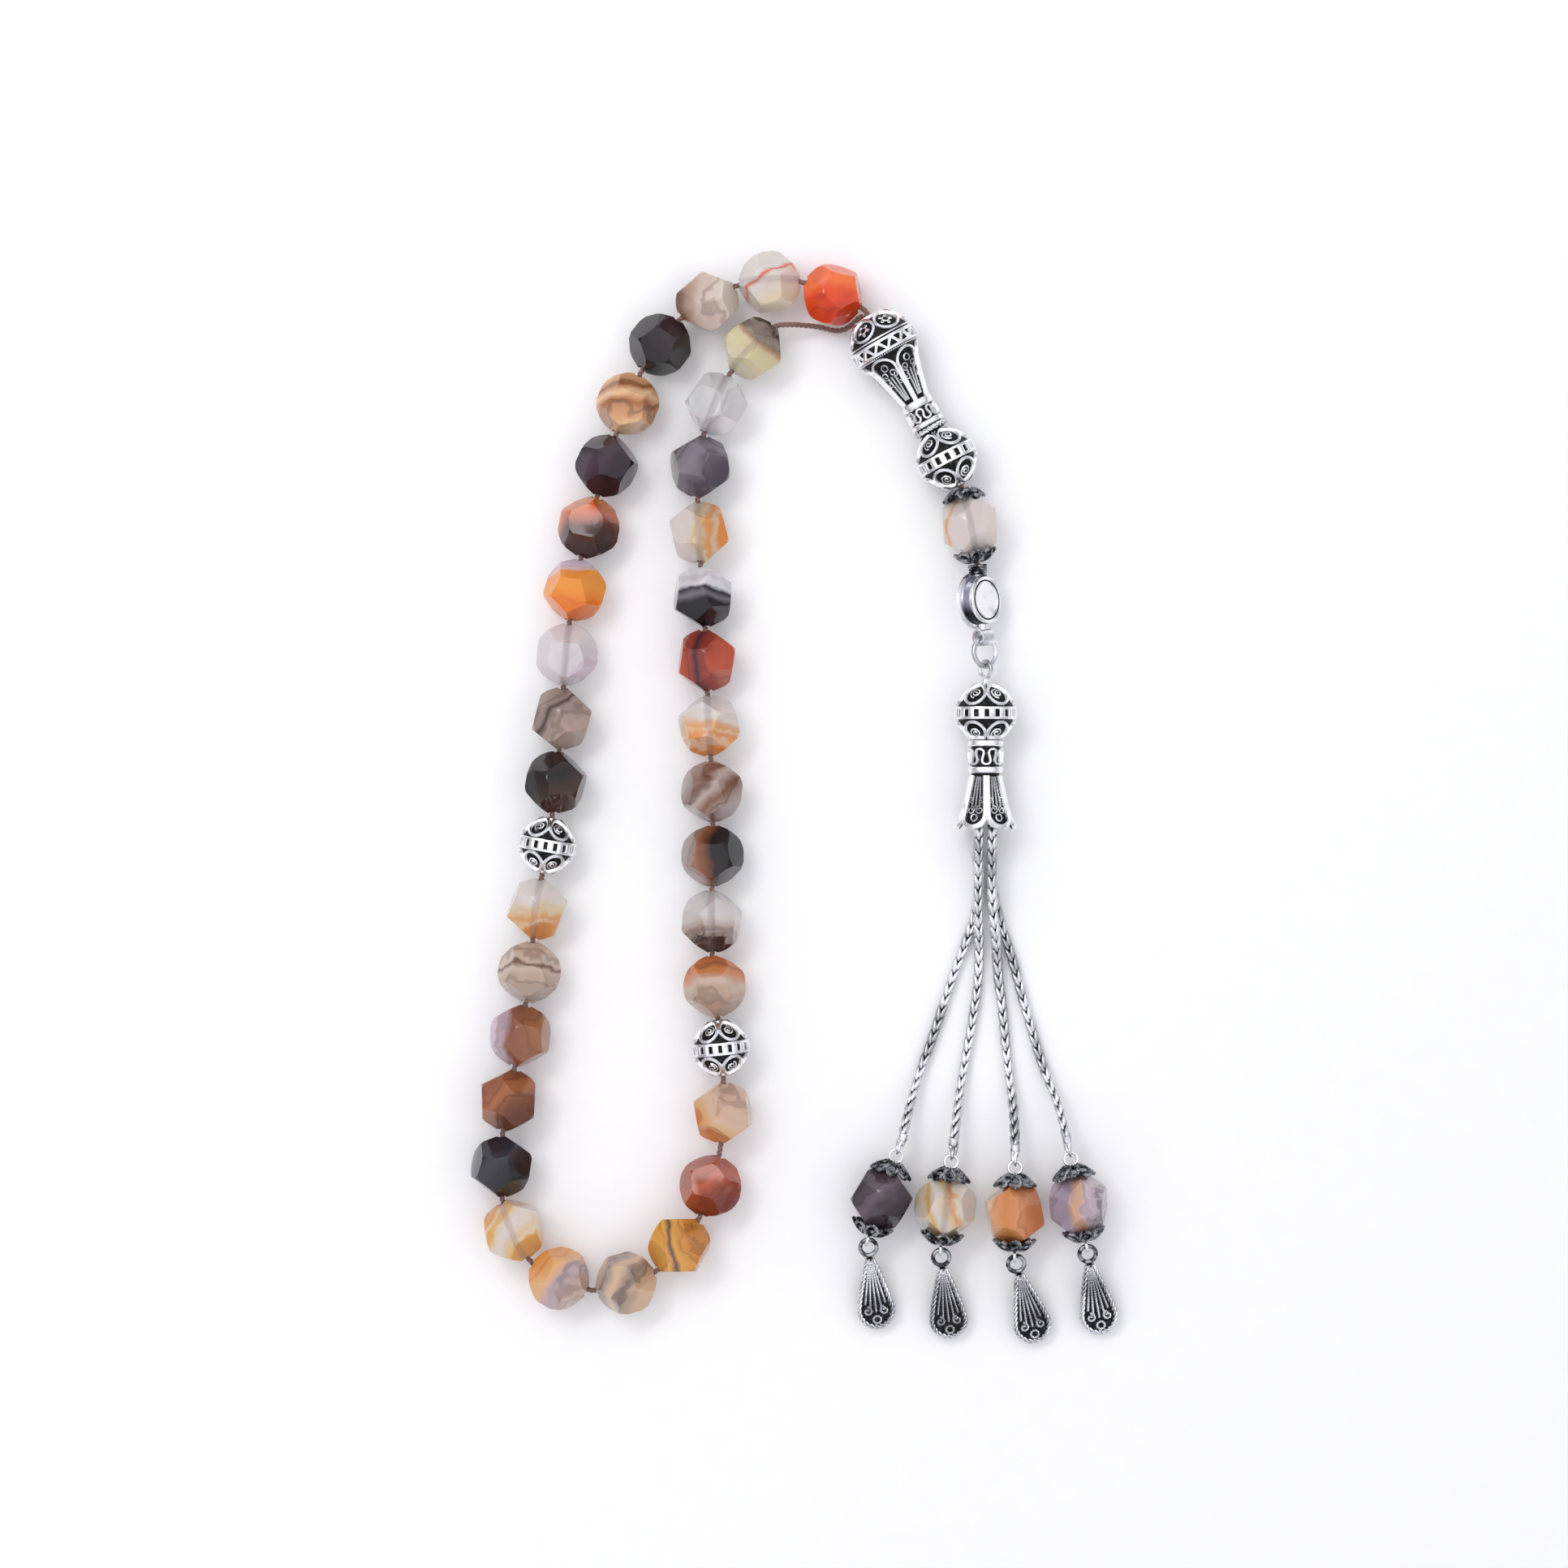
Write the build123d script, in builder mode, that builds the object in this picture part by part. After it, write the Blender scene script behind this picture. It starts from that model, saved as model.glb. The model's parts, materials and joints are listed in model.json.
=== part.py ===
from build123d import *
import math
import os
import random

# A string of 33 faceted stones and two silver dividers, closed by a silver headpiece from which a
# silver tassel with four stone pendants hangs. It lies flat: +Z is up, the table is at Z = 0, and the
# tassel points towards -Y. Lengths are in millimetres and angles in degrees.

# Stones
BEAD_DIAMETER = 10.0
FACET_DEPTH = 0.83  # distance of a facet from the centre, as a share of the radius
FACET_RINGS = ((37.4, 0), (79.2, 60), (100.8, 0), (142.6, 60))  # angle from the bore, turn about it
DIVIDER_DIAMETER = 9.2
BALL_DIAMETER = 10.0
BALL_WALL = 0.9
BAND_WIDTH = 1.8
BAND_RELIEF = 0.15

# Cord
CORD_DIAMETER = 0.9
BORE_CLEARANCE = 0.1  # round the cord, on the radius
FLARE_DEPTH = 1.2  # each bore opens towards its mouths, where the cord turns
FLARE_WIDENING = 0.4
CORD_GAP = 0.04  # either side of the middle where its two ends pass
CORD_TURN = 1.0  # straight length that each turn between two beads takes from either side
BEAD_CLEARANCE = 0.12  # least distance between two neighbours' spheres

# Headpiece (the imame)
IMAME_LENGTH = 20.8
IMAME_RADIUS = 5.5
DOME_HEIGHT = 4.4
BELLY_HEIGHT = 1.9
WAIST_AT = 15.3  # from the mouth
WAIST_RADIUS = 2.6
COLLAR_RADIUS = 2.8
MOUTH_RADIUS = 1.5
SHELL_WALL = 0.6
IMAME_PITCH = -1.4  # the wide dome lifts the mouth end
CORD_HOLE_AT = 0.9  # where the two ends turn into line, inside the mouth
KNOT_AT = 2.6
KNOT_RADIUS = 1.3
KNOT_SHARE = 0.8  # a knot's length as a share of its thickness

# Caps, medallion and rings
CAP_RADIUS = 2.95
CAP_WALL = 0.45
CAP_CLEARANCE = 0.15
MEDALLION_RIM_RADIUS = 4.5
MEDALLION_BODY_RADIUS = 3.8
MEDALLION_FACE_RADIUS = 3.6
MEDALLION_RIM_DEPTH = 0.7
MEDALLION_STEP = 0.5  # from the body up to the face
MEDALLION_DEPTH = 2.9
MEDALLION_TURN = 49.0  # its face is turned this far from level, about the line it hangs on
NECK_RADIUS = 1.4
NECK_LENGTH = 1.9
NECK_GAP = 0.3  # between the head stone's cap and the neck
NECK_SOCKET = 0.8  # depth of the neck's bore over the knot's chamber
NECK_OVERLAP = 0.9  # run of the neck inside the disc
TANG_LENGTH = 2.4  # between the disc and its bail
TANG_RADIUS = 0.7
END_KNOT_RADIUS = 0.75
BAIL_WALL = 0.35
BAIL_WIDTH = 2.4
RING_WIRE = 0.8
JUMP_RING_DIAMETER = 5.4
RING_TURN = 39.0
LINK_PLAY = 0.06
DROP_PLAY = 0.2

# Tassel
TASSEL_BALL_DIAMETER = 10.0
TASSEL_COLLAR_RADIUS = 2.85
TASSEL_COLLAR_LENGTH = 5.3
SKIRT_LENGTH = 8.6
SKIRT_TOP_RADIUS = 2.6
SKIRT_MOUTH_RADIUS = 4.95
SKIRT_WALL = 0.5
PETALS = 6
TASSEL_EYE_DIAMETER = 3.3
TASSEL_EYE_WIRE = 0.7
BAR_DIAMETER = 0.6
CHAIN_DIAMETER = 1.7
CHAIN_SPACING = CHAIN_DIAMETER + 0.3
EYELET_WIRE = 0.4

# Pendants
PENDANT_GAPS = (0.12, 0.9, 0.12)  # between neighbouring pendant stones, left to right
PENDANT_STAGGER = (1.25, 0.0, -1.0, 0.5)  # how much higher or lower each stone hangs
PENDANT_HEADINGS = (-109.0, -97.0, -90.5, -80.0)
DROP_HEADINGS = (-83.0, -83.0, -75.0, -79.0)
PENDANT_MIDDLE = (-0.85, -64.35)  # between the two inner stones, from the tassel's line
PIN_WIRE = 0.5
PIN_SHANK = 0.46  # drawn a little thinner than its eyes
PIN_EYE_DIAMETER = 2.6
DROP_EYE_DIAMETER = 2.2
DROP_RING_DIAMETER = 3.3
DROP_RING_WIRE = 0.7
DROP_LENGTH = 12.3
DROP_WIDTH = 6.2
DROP_THICKNESS = 1.8
DROP_PANEL = 0.4  # the middle of each drop stands this much above its edge
DROP_PANEL_EDGE = 0.7

# The way each bead's bore points along the string, from the mouth of the headpiece round to the
# free stretch. The dividers are the 12th and the 24th.
HEADINGS = (
    155, 183, 211, 234, 249, 253, 255, 260, 265, 266, 264, 260,
    262, 264, 260, 259, 269, 293, 334, 378, 412, 433, 448, 456,
    455, 450, 449, 452, 453, 452, 454, 453, 445, 427, 405,
)
GAPS = (
    0.2, 0.3, 0.1, 0.7, 0.3, 0.1, 0.2, 0.2, 0.2, 0.1, 0.4, 0.5,
    0.1, 0.1, 0.4, 0.5, 0.3, 0.4, 0.6, 0.3, 0.6, 1.7, 0.7, 0.1,
    0.3, 0.4, 0.1, 0.4, 0.3, 0.1, 0.2, 0.4, 0.2, 0.5,
)
DIVIDERS = (11, 23)

# Layout. The tassel's line is the Y direction through TASSEL_X.
MOUTH = Vector(11.45, 76.15, IMAME_RADIUS - DOME_HEIGHT * math.sin(math.radians(IMAME_PITCH)))
FIRST_BEAD_BEARING = 147.2  # from the mouth
FIRST_BEAD_GAP = 1.55
IMAME_HEADING = -60.6
BALL_HEADING = -62.5
HEAD_HEADING = -78.5
NECK_HEADING = -84.8
HANG_HEADING = -86.0

CORD_RADIUS = CORD_DIAMETER / 2
BORE_RADIUS = CORD_RADIUS + BORE_CLEARANCE
BEAD_RADIUS = BEAD_DIAMETER / 2
LEVEL = BEAD_RADIUS  # height of the string's line over the table


def direction(heading, pitch=0.0):
    """Unit vector at an angle from +X in plan and an angle above level."""
    h, p = math.radians(heading), math.radians(pitch)
    return Vector(math.cos(h) * math.cos(p), math.sin(h) * math.cos(p), math.sin(p))


def along(origin, heading, pitch=0.0, roll=0.0):
    """Plane whose X runs along the string. Its Z points up, or is rolled about X."""
    line = direction(heading, pitch)
    up = direction(heading, pitch + 90).rotate(Axis((0, 0, 0), line), roll)
    return Plane(origin=origin, x_dir=line, z_dir=up)


def line_of(place):
    """The place's X axis, about which lathe-turned pieces turn."""
    return Axis(place.origin, place.x_dir)


def moved(place, distance):
    """The same plane, further along its X."""
    return Plane(origin=place.origin + place.x_dir * distance, x_dir=place.x_dir, z_dir=place.z_dir)


def save(piece, name):
    piece.part.label = name
    export_step(piece.part, f"parts/{name}.step")


# ---- places of everything on the string -----------------------------------------------------


def loop_places():
    """One plane for each bead of the loop, X along its bore, and the corners of the cord between them."""
    radii = [DIVIDER_DIAMETER / 2 if n in DIVIDERS else BEAD_RADIUS for n in range(len(HEADINGS))]
    centre = MOUTH + direction(FIRST_BEAD_BEARING) * (BEAD_RADIUS + FIRST_BEAD_GAP)
    centre = Vector(centre.X, centre.Y, LEVEL)
    places, corners = [along(centre, HEADINGS[0])], []
    for n, gap in enumerate(GAPS):
        half_gap = max(gap, BEAD_CLEARANCE) / 2
        half_turn = math.radians(HEADINGS[n + 1] - HEADINGS[n]) / 2
        corner = centre + direction(HEADINGS[n]) * ((radii[n] + half_gap) / math.cos(half_turn))
        centre = corner + direction(HEADINGS[n + 1]) * ((radii[n + 1] + half_gap) / math.cos(half_turn))
        corners.append(corner)
        places.append(along(centre, HEADINGS[n + 1]))
    return places, corners


BEAD_PLACES, CORD_CORNERS = loop_places()

IMAME_PLACE = along(MOUTH, IMAME_HEADING, IMAME_PITCH)
SWING_PIVOT = moved(IMAME_PLACE, SHELL_WALL / 2).origin
IMAME_END = moved(IMAME_PLACE, IMAME_LENGTH + 0.15).origin
BALL_PLACE = along(IMAME_END + direction(BALL_HEADING) * (BALL_DIAMETER / 2 - 0.4), BALL_HEADING)
CAP_OUTER_RADIUS = BEAD_RADIUS + CAP_CLEARANCE + CAP_WALL
BALL_END = BALL_PLACE.origin + direction(BALL_HEADING) * (BALL_DIAMETER / 2 + 0.3)
HEAD_BEAD_PLACE = along(BALL_END + direction(HEAD_HEADING) * (CAP_OUTER_RADIUS + 0.4), HEAD_HEADING)
NECK_TOP = HEAD_BEAD_PLACE.origin + direction(HEAD_HEADING) * (CAP_OUTER_RADIUS + 0.4)
NECK_PLACE = along(NECK_TOP, NECK_HEADING)
MEDALLION_PLACE = along(
    moved(NECK_PLACE, NECK_GAP + NECK_LENGTH + MEDALLION_BODY_RADIUS).origin, NECK_HEADING, 0, -MEDALLION_TURN
)
BAIL_RADIUS = 1.05 * RING_WIRE + 0.2  # inside, centred on the ring's wire
BAIL_PLACE = moved(NECK_PLACE, NECK_GAP + NECK_LENGTH + 2 * MEDALLION_BODY_RADIUS + BAIL_RADIUS + 1.0)
RING_RADIUS = (JUMP_RING_DIAMETER - RING_WIRE) / 2
RING_TOP = along(BAIL_PLACE.origin, HANG_HEADING, 0, -RING_TURN)
RING_PLACE = moved(RING_TOP, RING_RADIUS)
EYE_RADIUS = (TASSEL_EYE_DIAMETER - TASSEL_EYE_WIRE) / 2
EYE_TOP = moved(RING_TOP, 2 * RING_RADIUS - (RING_WIRE + TASSEL_EYE_WIRE) / 2 - LINK_PLAY).origin
TASSEL_LINE = along(EYE_TOP, -90)
TASSEL_BALL_AT = 2 * EYE_RADIUS + TASSEL_BALL_DIAMETER / 2 + 0.6
TASSEL_PLACE = moved(TASSEL_LINE, TASSEL_BALL_AT)
COLLAR_AT = math.sqrt((TASSEL_BALL_DIAMETER / 2) ** 2 - TASSEL_COLLAR_RADIUS**2)
SKIRT_AT = COLLAR_AT + TASSEL_COLLAR_LENGTH + 0.3
BAR_AT = SKIRT_AT + 1.25 * CHAIN_DIAMETER
TASSEL_X = TASSEL_LINE.origin.X

PIN_EYE_RADIUS = (PIN_EYE_DIAMETER - PIN_WIRE) / 2
DROP_EYE_RADIUS = (DROP_EYE_DIAMETER - PIN_WIRE) / 2
DROP_RING_RADIUS = (DROP_RING_DIAMETER - DROP_RING_WIRE) / 2
CHAIN_RING_RADIUS = 0.85
PIN_EYE_AT = CAP_OUTER_RADIUS + 0.2 + PIN_EYE_DIAMETER / 2
DROP_EYE_AT = CAP_OUTER_RADIUS + 0.1 + DROP_EYE_DIAMETER / 2


def pendant_places():
    """Planes of the four pendant stones, X along their pins, away from the chains."""
    step = [BEAD_DIAMETER + gap for gap in PENDANT_GAPS]
    inner = step[1] / 2
    across = (-inner - step[0], -inner, inner, inner + step[2])
    places = []
    for x, higher, heading in zip(across, PENDANT_STAGGER, PENDANT_HEADINGS):
        centre = Vector(TASSEL_X + PENDANT_MIDDLE[0] + x, PENDANT_MIDDLE[1] + higher, LEVEL)
        places.append(along(centre, heading))
    return places


PENDANT_PLACES = pendant_places()

# Each chain hangs from a bar: side of the line and height, then hand-placed points of its route,
# (across from the tassel's line, Y, Z), down to where it meets its pendant.
LOW, HIGH = -CHAIN_SPACING / 2, CHAIN_SPACING / 2
CHAIN_TOPS = ((LOW, LOW), (LOW, HIGH), (HIGH, HIGH), (HIGH, LOW))
CHAIN_ROUTES = (
    ((-1.1, -5.5, 3.1), (-1.2, -10.5, 1.2), (-0.9, -15.2, 0.9), (-2.0, -20.5, 0.9), (-4.3, -26.2, 0.9),
     (-6.4, -32.4, 0.9), (-8.3, -38.2, 0.9), (-10.4, -43.8, 1.1), (-12.0, -48.9, 2.8)),
    ((-1.0, -5.5, 5.1), (-1.0, -10.8, 3.4), (-1.1, -15.4, 3.2), (-1.0, -19.5, 2.6), (-0.8, -24.6, 0.9),
     (-1.0, -29.8, 0.9), (-1.9, -35.5, 0.9), (-2.9, -41.0, 0.9), (-3.8, -46.0, 1.4), (-4.5, -50.4, 3.3)),
    ((1.0, -5.5, 5.6), (1.0, -10.8, 4.6), (1.1, -15.4, 4.3), (1.3, -19.2, 4.0), (1.9, -23.6, 2.0),
     (2.2, -28.4, 0.9), (3.0, -34.2, 0.9), (3.5, -40.2, 0.9), (4.2, -46.0, 1.3), (4.8, -50.9, 3.3)),
    ((1.1, -5.5, 3.1), (1.3, -10.5, 1.2), (1.4, -15.2, 0.9), (2.8, -20.4, 0.9), (4.7, -26.2, 0.9),
     (6.2, -32.0, 0.9), (8.0, -38.4, 0.9), (9.8, -43.9, 1.1), (12.0, -48.9, 2.8)),
)


# The bare stretch back to the mouth: (X, Y) from the mouth and height, placed by hand. It dips under
# the first stone's edge.
RETURN_ROUTE = ((-8.0, -1.1, 2.2), (-4.7, -2.1, 2.2), (-2.7, -1.3, 3.2), (-1.0, 0.45, 4.45))

# ---- stones ---------------------------------------------------------------------------------


def faceted_stone(place, bore_radius, seed):
    """A ball cut by twelve facets, no two stones quite alike, with a flared bore."""
    chance = random.Random(seed)
    spin = chance.uniform(0, 120)
    reach = BEAD_RADIUS + 1
    mouth = bore_radius + FLARE_WIDENING
    flare_end = BEAD_RADIUS - FLARE_DEPTH
    with BuildPart(place) as stone:
        Sphere(BEAD_RADIUS)
        for angle, turn in FACET_RINGS:
            for third in range(3):
                polar = math.radians(angle + chance.uniform(-3, 3))
                round_bore = math.radians(spin + turn + 120 * third + chance.uniform(-4, 4))
                outward = place.y_dir * math.cos(round_bore) + place.z_dir * math.sin(round_bore)
                outward = place.x_dir * math.cos(polar) + outward * math.sin(polar)
                depth = BEAD_RADIUS * (FACET_DEPTH + chance.uniform(-0.015, 0.015))
                facet = Plane(origin=place.origin + outward * depth, z_dir=outward)
                split(bisect_by=facet, keep=Keep.BOTTOM)
        with BuildSketch(place):
            with BuildLine():
                Polyline(
                    (-reach, 0),
                    (-reach, mouth),
                    (-BEAD_RADIUS, mouth),
                    (-flare_end, bore_radius),
                    (flare_end, bore_radius),
                    (BEAD_RADIUS, mouth),
                    (reach, mouth),
                    (reach, 0),
                    close=True,
                )
            make_face()
        revolve(axis=line_of(place), mode=Mode.SUBTRACT)
    return stone


# ---- silver ---------------------------------------------------------------------------------


def hollow_ball(place, diameter, bore_radius):
    """A hollow silver ball with a raised band round its middle and an open bore."""
    radius = diameter / 2
    outer = radius - BAND_RELIEF
    inner = radius - BALL_WALL
    end = math.sqrt(outer**2 - bore_radius**2)
    inner_end = math.sqrt(inner**2 - bore_radius**2)
    with BuildPart() as ball:
        with BuildSketch(place):
            with BuildLine():
                ThreePointArc((-end, bore_radius), (0, outer), (end, bore_radius))
                Line((end, bore_radius), (inner_end, bore_radius))
                ThreePointArc((inner_end, bore_radius), (0, inner), (-inner_end, bore_radius))
                Line((-inner_end, bore_radius), (-end, bore_radius))
            make_face()
        revolve(axis=line_of(place))
        with BuildSketch(place):
            with BuildLine():
                Polyline(
                    (-BAND_WIDTH / 2, inner + BALL_WALL / 2),
                    (BAND_WIDTH / 2, inner + BALL_WALL / 2),
                    (BAND_WIDTH / 2, radius),
                    (-BAND_WIDTH / 2, radius),
                    close=True,
                )
            make_face()
        revolve(axis=line_of(place))
    return ball


def imame():
    """The headpiece: a hollow dome and petal body, open at the mouth, ending in a collar."""
    belly_end = DOME_HEIGHT + BELLY_HEIGHT
    belly_radius = IMAME_RADIUS - 0.15
    narrow = BORE_RADIUS
    inside = IMAME_RADIUS - SHELL_WALL - 0.3
    cup = COLLAR_RADIUS - 0.45
    with BuildPart() as shell:
        with BuildSketch(IMAME_PLACE):
            with BuildLine():
                Line((0, MOUTH_RADIUS), (0, MOUTH_RADIUS + 0.4))
                ThreePointArc((0, MOUTH_RADIUS + 0.4), (1.35, 4.15), (DOME_HEIGHT, IMAME_RADIUS))
                Line((DOME_HEIGHT, IMAME_RADIUS), (belly_end, belly_radius))
                ThreePointArc(
                    (belly_end, belly_radius),
                    ((belly_end + WAIST_AT) / 2, (belly_radius + WAIST_RADIUS) / 2 - 0.2),
                    (WAIST_AT, WAIST_RADIUS),
                )
                Polyline(
                    (WAIST_AT, WAIST_RADIUS),
                    (IMAME_LENGTH, COLLAR_RADIUS),
                    (IMAME_LENGTH, cup),
                    (IMAME_LENGTH - 1.0, narrow + 0.5),
                    (IMAME_LENGTH - 1.6, narrow),
                    (WAIST_AT - 4.0, narrow),
                    (belly_end, inside - 0.4),
                    (DOME_HEIGHT, inside),
                    (1.9, inside - 0.8),
                    (SHELL_WALL, MOUTH_RADIUS + 0.8),
                    (SHELL_WALL, MOUTH_RADIUS),
                    (0, MOUTH_RADIUS),
                )
            make_face()
        revolve(axis=line_of(IMAME_PLACE))
    return shell


def cap(place, side, bore_radius):
    """A thin dished cap that hugs one end of a stone; side is -1 or 1."""
    inner = BEAD_RADIUS + CAP_CLEARANCE
    outer = inner + CAP_WALL
    middle = CAP_RADIUS / 2

    def at(radius, height):
        return side * math.sqrt(radius**2 - height**2), height

    with BuildPart() as dish:
        with BuildSketch(place):
            with BuildLine():
                ThreePointArc(at(inner, bore_radius), at(inner, middle), at(inner, CAP_RADIUS))
                Line(at(inner, CAP_RADIUS), at(outer, CAP_RADIUS))
                ThreePointArc(at(outer, CAP_RADIUS), at(outer, middle), at(outer, bore_radius))
                Line(at(outer, bore_radius), at(inner, bore_radius))
            make_face()
        revolve(axis=line_of(place))
    return dish.part


def pair_of_caps(place, bore_radius):
    first = cap(place, -1, bore_radius)
    second = cap(place, 1, bore_radius)
    with BuildPart() as caps:
        add(first)
        add(second)
    return caps


def wire_ring(place, radius, wire):
    """A closed ring of round wire lying in the place's XY plane, centred on it."""
    edge_on = Plane(origin=place.origin + place.x_dir * radius, x_dir=place.x_dir, z_dir=place.y_dir)
    with BuildPart() as ring:
        with BuildSketch(edge_on):
            Circle(wire / 2)
        revolve(axis=Axis(place.origin, place.z_dir))
    return ring


def rolled(place, angle):
    """The place turned about its own X."""
    up = place.z_dir.rotate(Axis((0, 0, 0), place.x_dir), angle)
    return Plane(origin=place.origin, x_dir=place.x_dir, z_dir=up)


def medallion():
    """A bezel disc turned about the line it hangs on, with a neck for the knot and a band bail."""
    face = Plane(
        origin=MEDALLION_PLACE.origin - MEDALLION_PLACE.z_dir * (MEDALLION_DEPTH / 2),
        x_dir=MEDALLION_PLACE.x_dir,
        z_dir=MEDALLION_PLACE.z_dir,
    )
    neck_length = NECK_LENGTH + NECK_OVERLAP
    chamber = END_KNOT_RADIUS + BORE_CLEARANCE
    bail = rolled(BAIL_PLACE, -RING_TURN)
    bail_hole = Plane(origin=bail.origin, x_dir=bail.x_dir, z_dir=bail.y_dir)
    to_bail = (BAIL_PLACE.origin - NECK_PLACE.origin).length
    with BuildPart() as disc:
        with BuildSketch(face):
            Circle(MEDALLION_RIM_RADIUS)
        extrude(amount=MEDALLION_RIM_DEPTH)
        with BuildSketch(face):
            Circle(MEDALLION_BODY_RADIUS)
        extrude(amount=MEDALLION_DEPTH - MEDALLION_STEP)
        with BuildSketch(face):
            Circle(MEDALLION_FACE_RADIUS)
        extrude(amount=MEDALLION_DEPTH)
        with BuildSketch(NECK_PLACE):
            with Locations((NECK_GAP + neck_length / 2, NECK_RADIUS / 2)):
                Rectangle(neck_length, NECK_RADIUS)
        revolve(axis=line_of(NECK_PLACE))
        with BuildSketch(NECK_PLACE):
            with BuildLine():
                Polyline(
                    (0, 0),
                    (0, BORE_RADIUS + 0.3),
                    (NECK_SOCKET - 0.2, BORE_RADIUS),
                    (NECK_SOCKET, BORE_RADIUS),
                    (NECK_SOCKET, chamber),
                    (NECK_SOCKET + 2 * chamber, chamber),
                    (NECK_SOCKET + 2 * chamber, 0),
                    close=True,
                )
            make_face()
        revolve(axis=line_of(NECK_PLACE), mode=Mode.SUBTRACT)
        with BuildSketch(NECK_PLACE):
            with Locations((to_bail - BAIL_RADIUS - BAIL_WALL / 2 - TANG_LENGTH / 2, TANG_RADIUS / 2)):
                Rectangle(TANG_LENGTH, TANG_RADIUS)
        revolve(axis=line_of(NECK_PLACE))
        with BuildSketch(bail_hole.offset(-BAIL_WIDTH / 2)):
            Circle(BAIL_RADIUS + BAIL_WALL)
        extrude(amount=BAIL_WIDTH)
        with BuildSketch(bail_hole.offset(-BAIL_WIDTH)):
            Circle(BAIL_RADIUS)
        extrude(amount=2 * BAIL_WIDTH, mode=Mode.SUBTRACT)
    return disc


def tassel_head():
    """Wire eye, ball, collar and petal skirt in one, with two bars across the skirt for the chains."""
    ball = TASSEL_BALL_DIAMETER / 2
    eye = rolled(moved(TASSEL_LINE, EYE_RADIUS), 90 - RING_TURN)
    eye_ring = wire_ring(eye, EYE_RADIUS, TASSEL_EYE_WIRE)
    skirt_end = SKIRT_AT + SKIRT_LENGTH
    stem = TASSEL_EYE_WIRE / 2
    stem_top = -(TASSEL_BALL_AT - 2 * EYE_RADIUS)
    bar_half = SKIRT_TOP_RADIUS
    petal_arc = SKIRT_MOUTH_RADIUS * math.sin(math.radians(180 / PETALS))
    line = line_of(TASSEL_PLACE)
    with BuildPart() as head:
        with BuildSketch(TASSEL_PLACE):
            with BuildLine():
                Line((stem_top, 0), (stem_top, stem))
                Line((stem_top, stem), (-math.sqrt(ball**2 - stem**2), stem))
                ThreePointArc(
                    (-math.sqrt(ball**2 - stem**2), stem), (0, ball), (COLLAR_AT, TASSEL_COLLAR_RADIUS)
                )
                Polyline(
                    (COLLAR_AT, TASSEL_COLLAR_RADIUS),
                    (SKIRT_AT, TASSEL_COLLAR_RADIUS),
                    (SKIRT_AT, SKIRT_TOP_RADIUS),
                )
                ThreePointArc(
                    (SKIRT_AT, SKIRT_TOP_RADIUS),
                    (SKIRT_AT + SKIRT_LENGTH / 2, (SKIRT_TOP_RADIUS + SKIRT_MOUTH_RADIUS) / 2 - 0.15),
                    (skirt_end, SKIRT_MOUTH_RADIUS),
                )
                Line((skirt_end, SKIRT_MOUTH_RADIUS), (skirt_end, SKIRT_MOUTH_RADIUS - SKIRT_WALL))
                ThreePointArc(
                    (skirt_end, SKIRT_MOUTH_RADIUS - SKIRT_WALL),
                    (
                        SKIRT_AT + SKIRT_LENGTH / 2,
                        (SKIRT_TOP_RADIUS + SKIRT_MOUTH_RADIUS) / 2 - 0.15 - SKIRT_WALL,
                    ),
                    (SKIRT_AT + SKIRT_WALL, SKIRT_TOP_RADIUS - SKIRT_WALL / 2),
                )
                Polyline(
                    (SKIRT_AT + SKIRT_WALL, SKIRT_TOP_RADIUS - SKIRT_WALL / 2),
                    (SKIRT_AT + SKIRT_WALL, 0),
                    (stem_top, 0),
                )
            make_face()
        revolve(axis=line)
        for petal in range(PETALS):
            out = direction(0, 360 * (petal + 0.5) / PETALS)
            notch = Plane(
                origin=TASSEL_PLACE.origin + TASSEL_PLACE.x_dir * (skirt_end + petal_arc * 0.35),
                x_dir=TASSEL_PLACE.x_dir,
                z_dir=out,
            )
            with BuildSketch(notch):
                with BuildLine():
                    Polyline((-1.5, 0), (0.5, 0.9), (0.5, -0.9), close=True)
                make_face()
            extrude(amount=2 * SKIRT_MOUTH_RADIUS, mode=Mode.SUBTRACT)
        for height in (LOW, HIGH):
            centre = TASSEL_PLACE.origin + TASSEL_PLACE.x_dir * BAR_AT + TASSEL_PLACE.z_dir * height
            with BuildSketch(Plane(origin=centre - Vector(bar_half, 0, 0), z_dir=(1, 0, 0))):
                Circle(BAR_DIAMETER / 2)
            extrude(amount=2 * bar_half)
        add(eye_ring.part)
    return head


# ---- cords and chains -----------------------------------------------------------------------


def corner_radii(points, most_turn):
    """The largest fillet at each corner that its two runs allow, or that the turn's room allows."""
    radii = []
    for before, corner, after in zip(points, points[1:], points[2:]):
        half_turn = math.radians((corner - before).get_angle(after - corner)) / 2
        room = 0.45 * min((corner - before).length, (after - corner).length)
        radii.append(min(room, most_turn) / math.tan(half_turn))
    return radii


def tube(name, points, radius, most_turn):
    """A round cord along straight runs joined by tangent arcs."""
    radii = corner_radii(points, most_turn)
    with BuildPart() as cord:
        with BuildLine() as path:
            FilletPolyline(*points, radius=radii)
        with BuildSketch(Plane(origin=path.line @ 0, z_dir=path.line % 0)):
            Circle(radius)
        sweep()
    section = math.pi * radius**2
    length = sum(edge.length for edge in path.edges())
    print(f"{name}: length {length:.1f}, least radius {min(radii):.2f}, {min(radii) / radius / 2:.1f} diameters")
    print("   radii " + " ".join(f"{r:.1f}" for r in radii))
    print(f"   volume over section times length {cord.part.volume / section / length:.4f}")
    return cord


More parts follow.
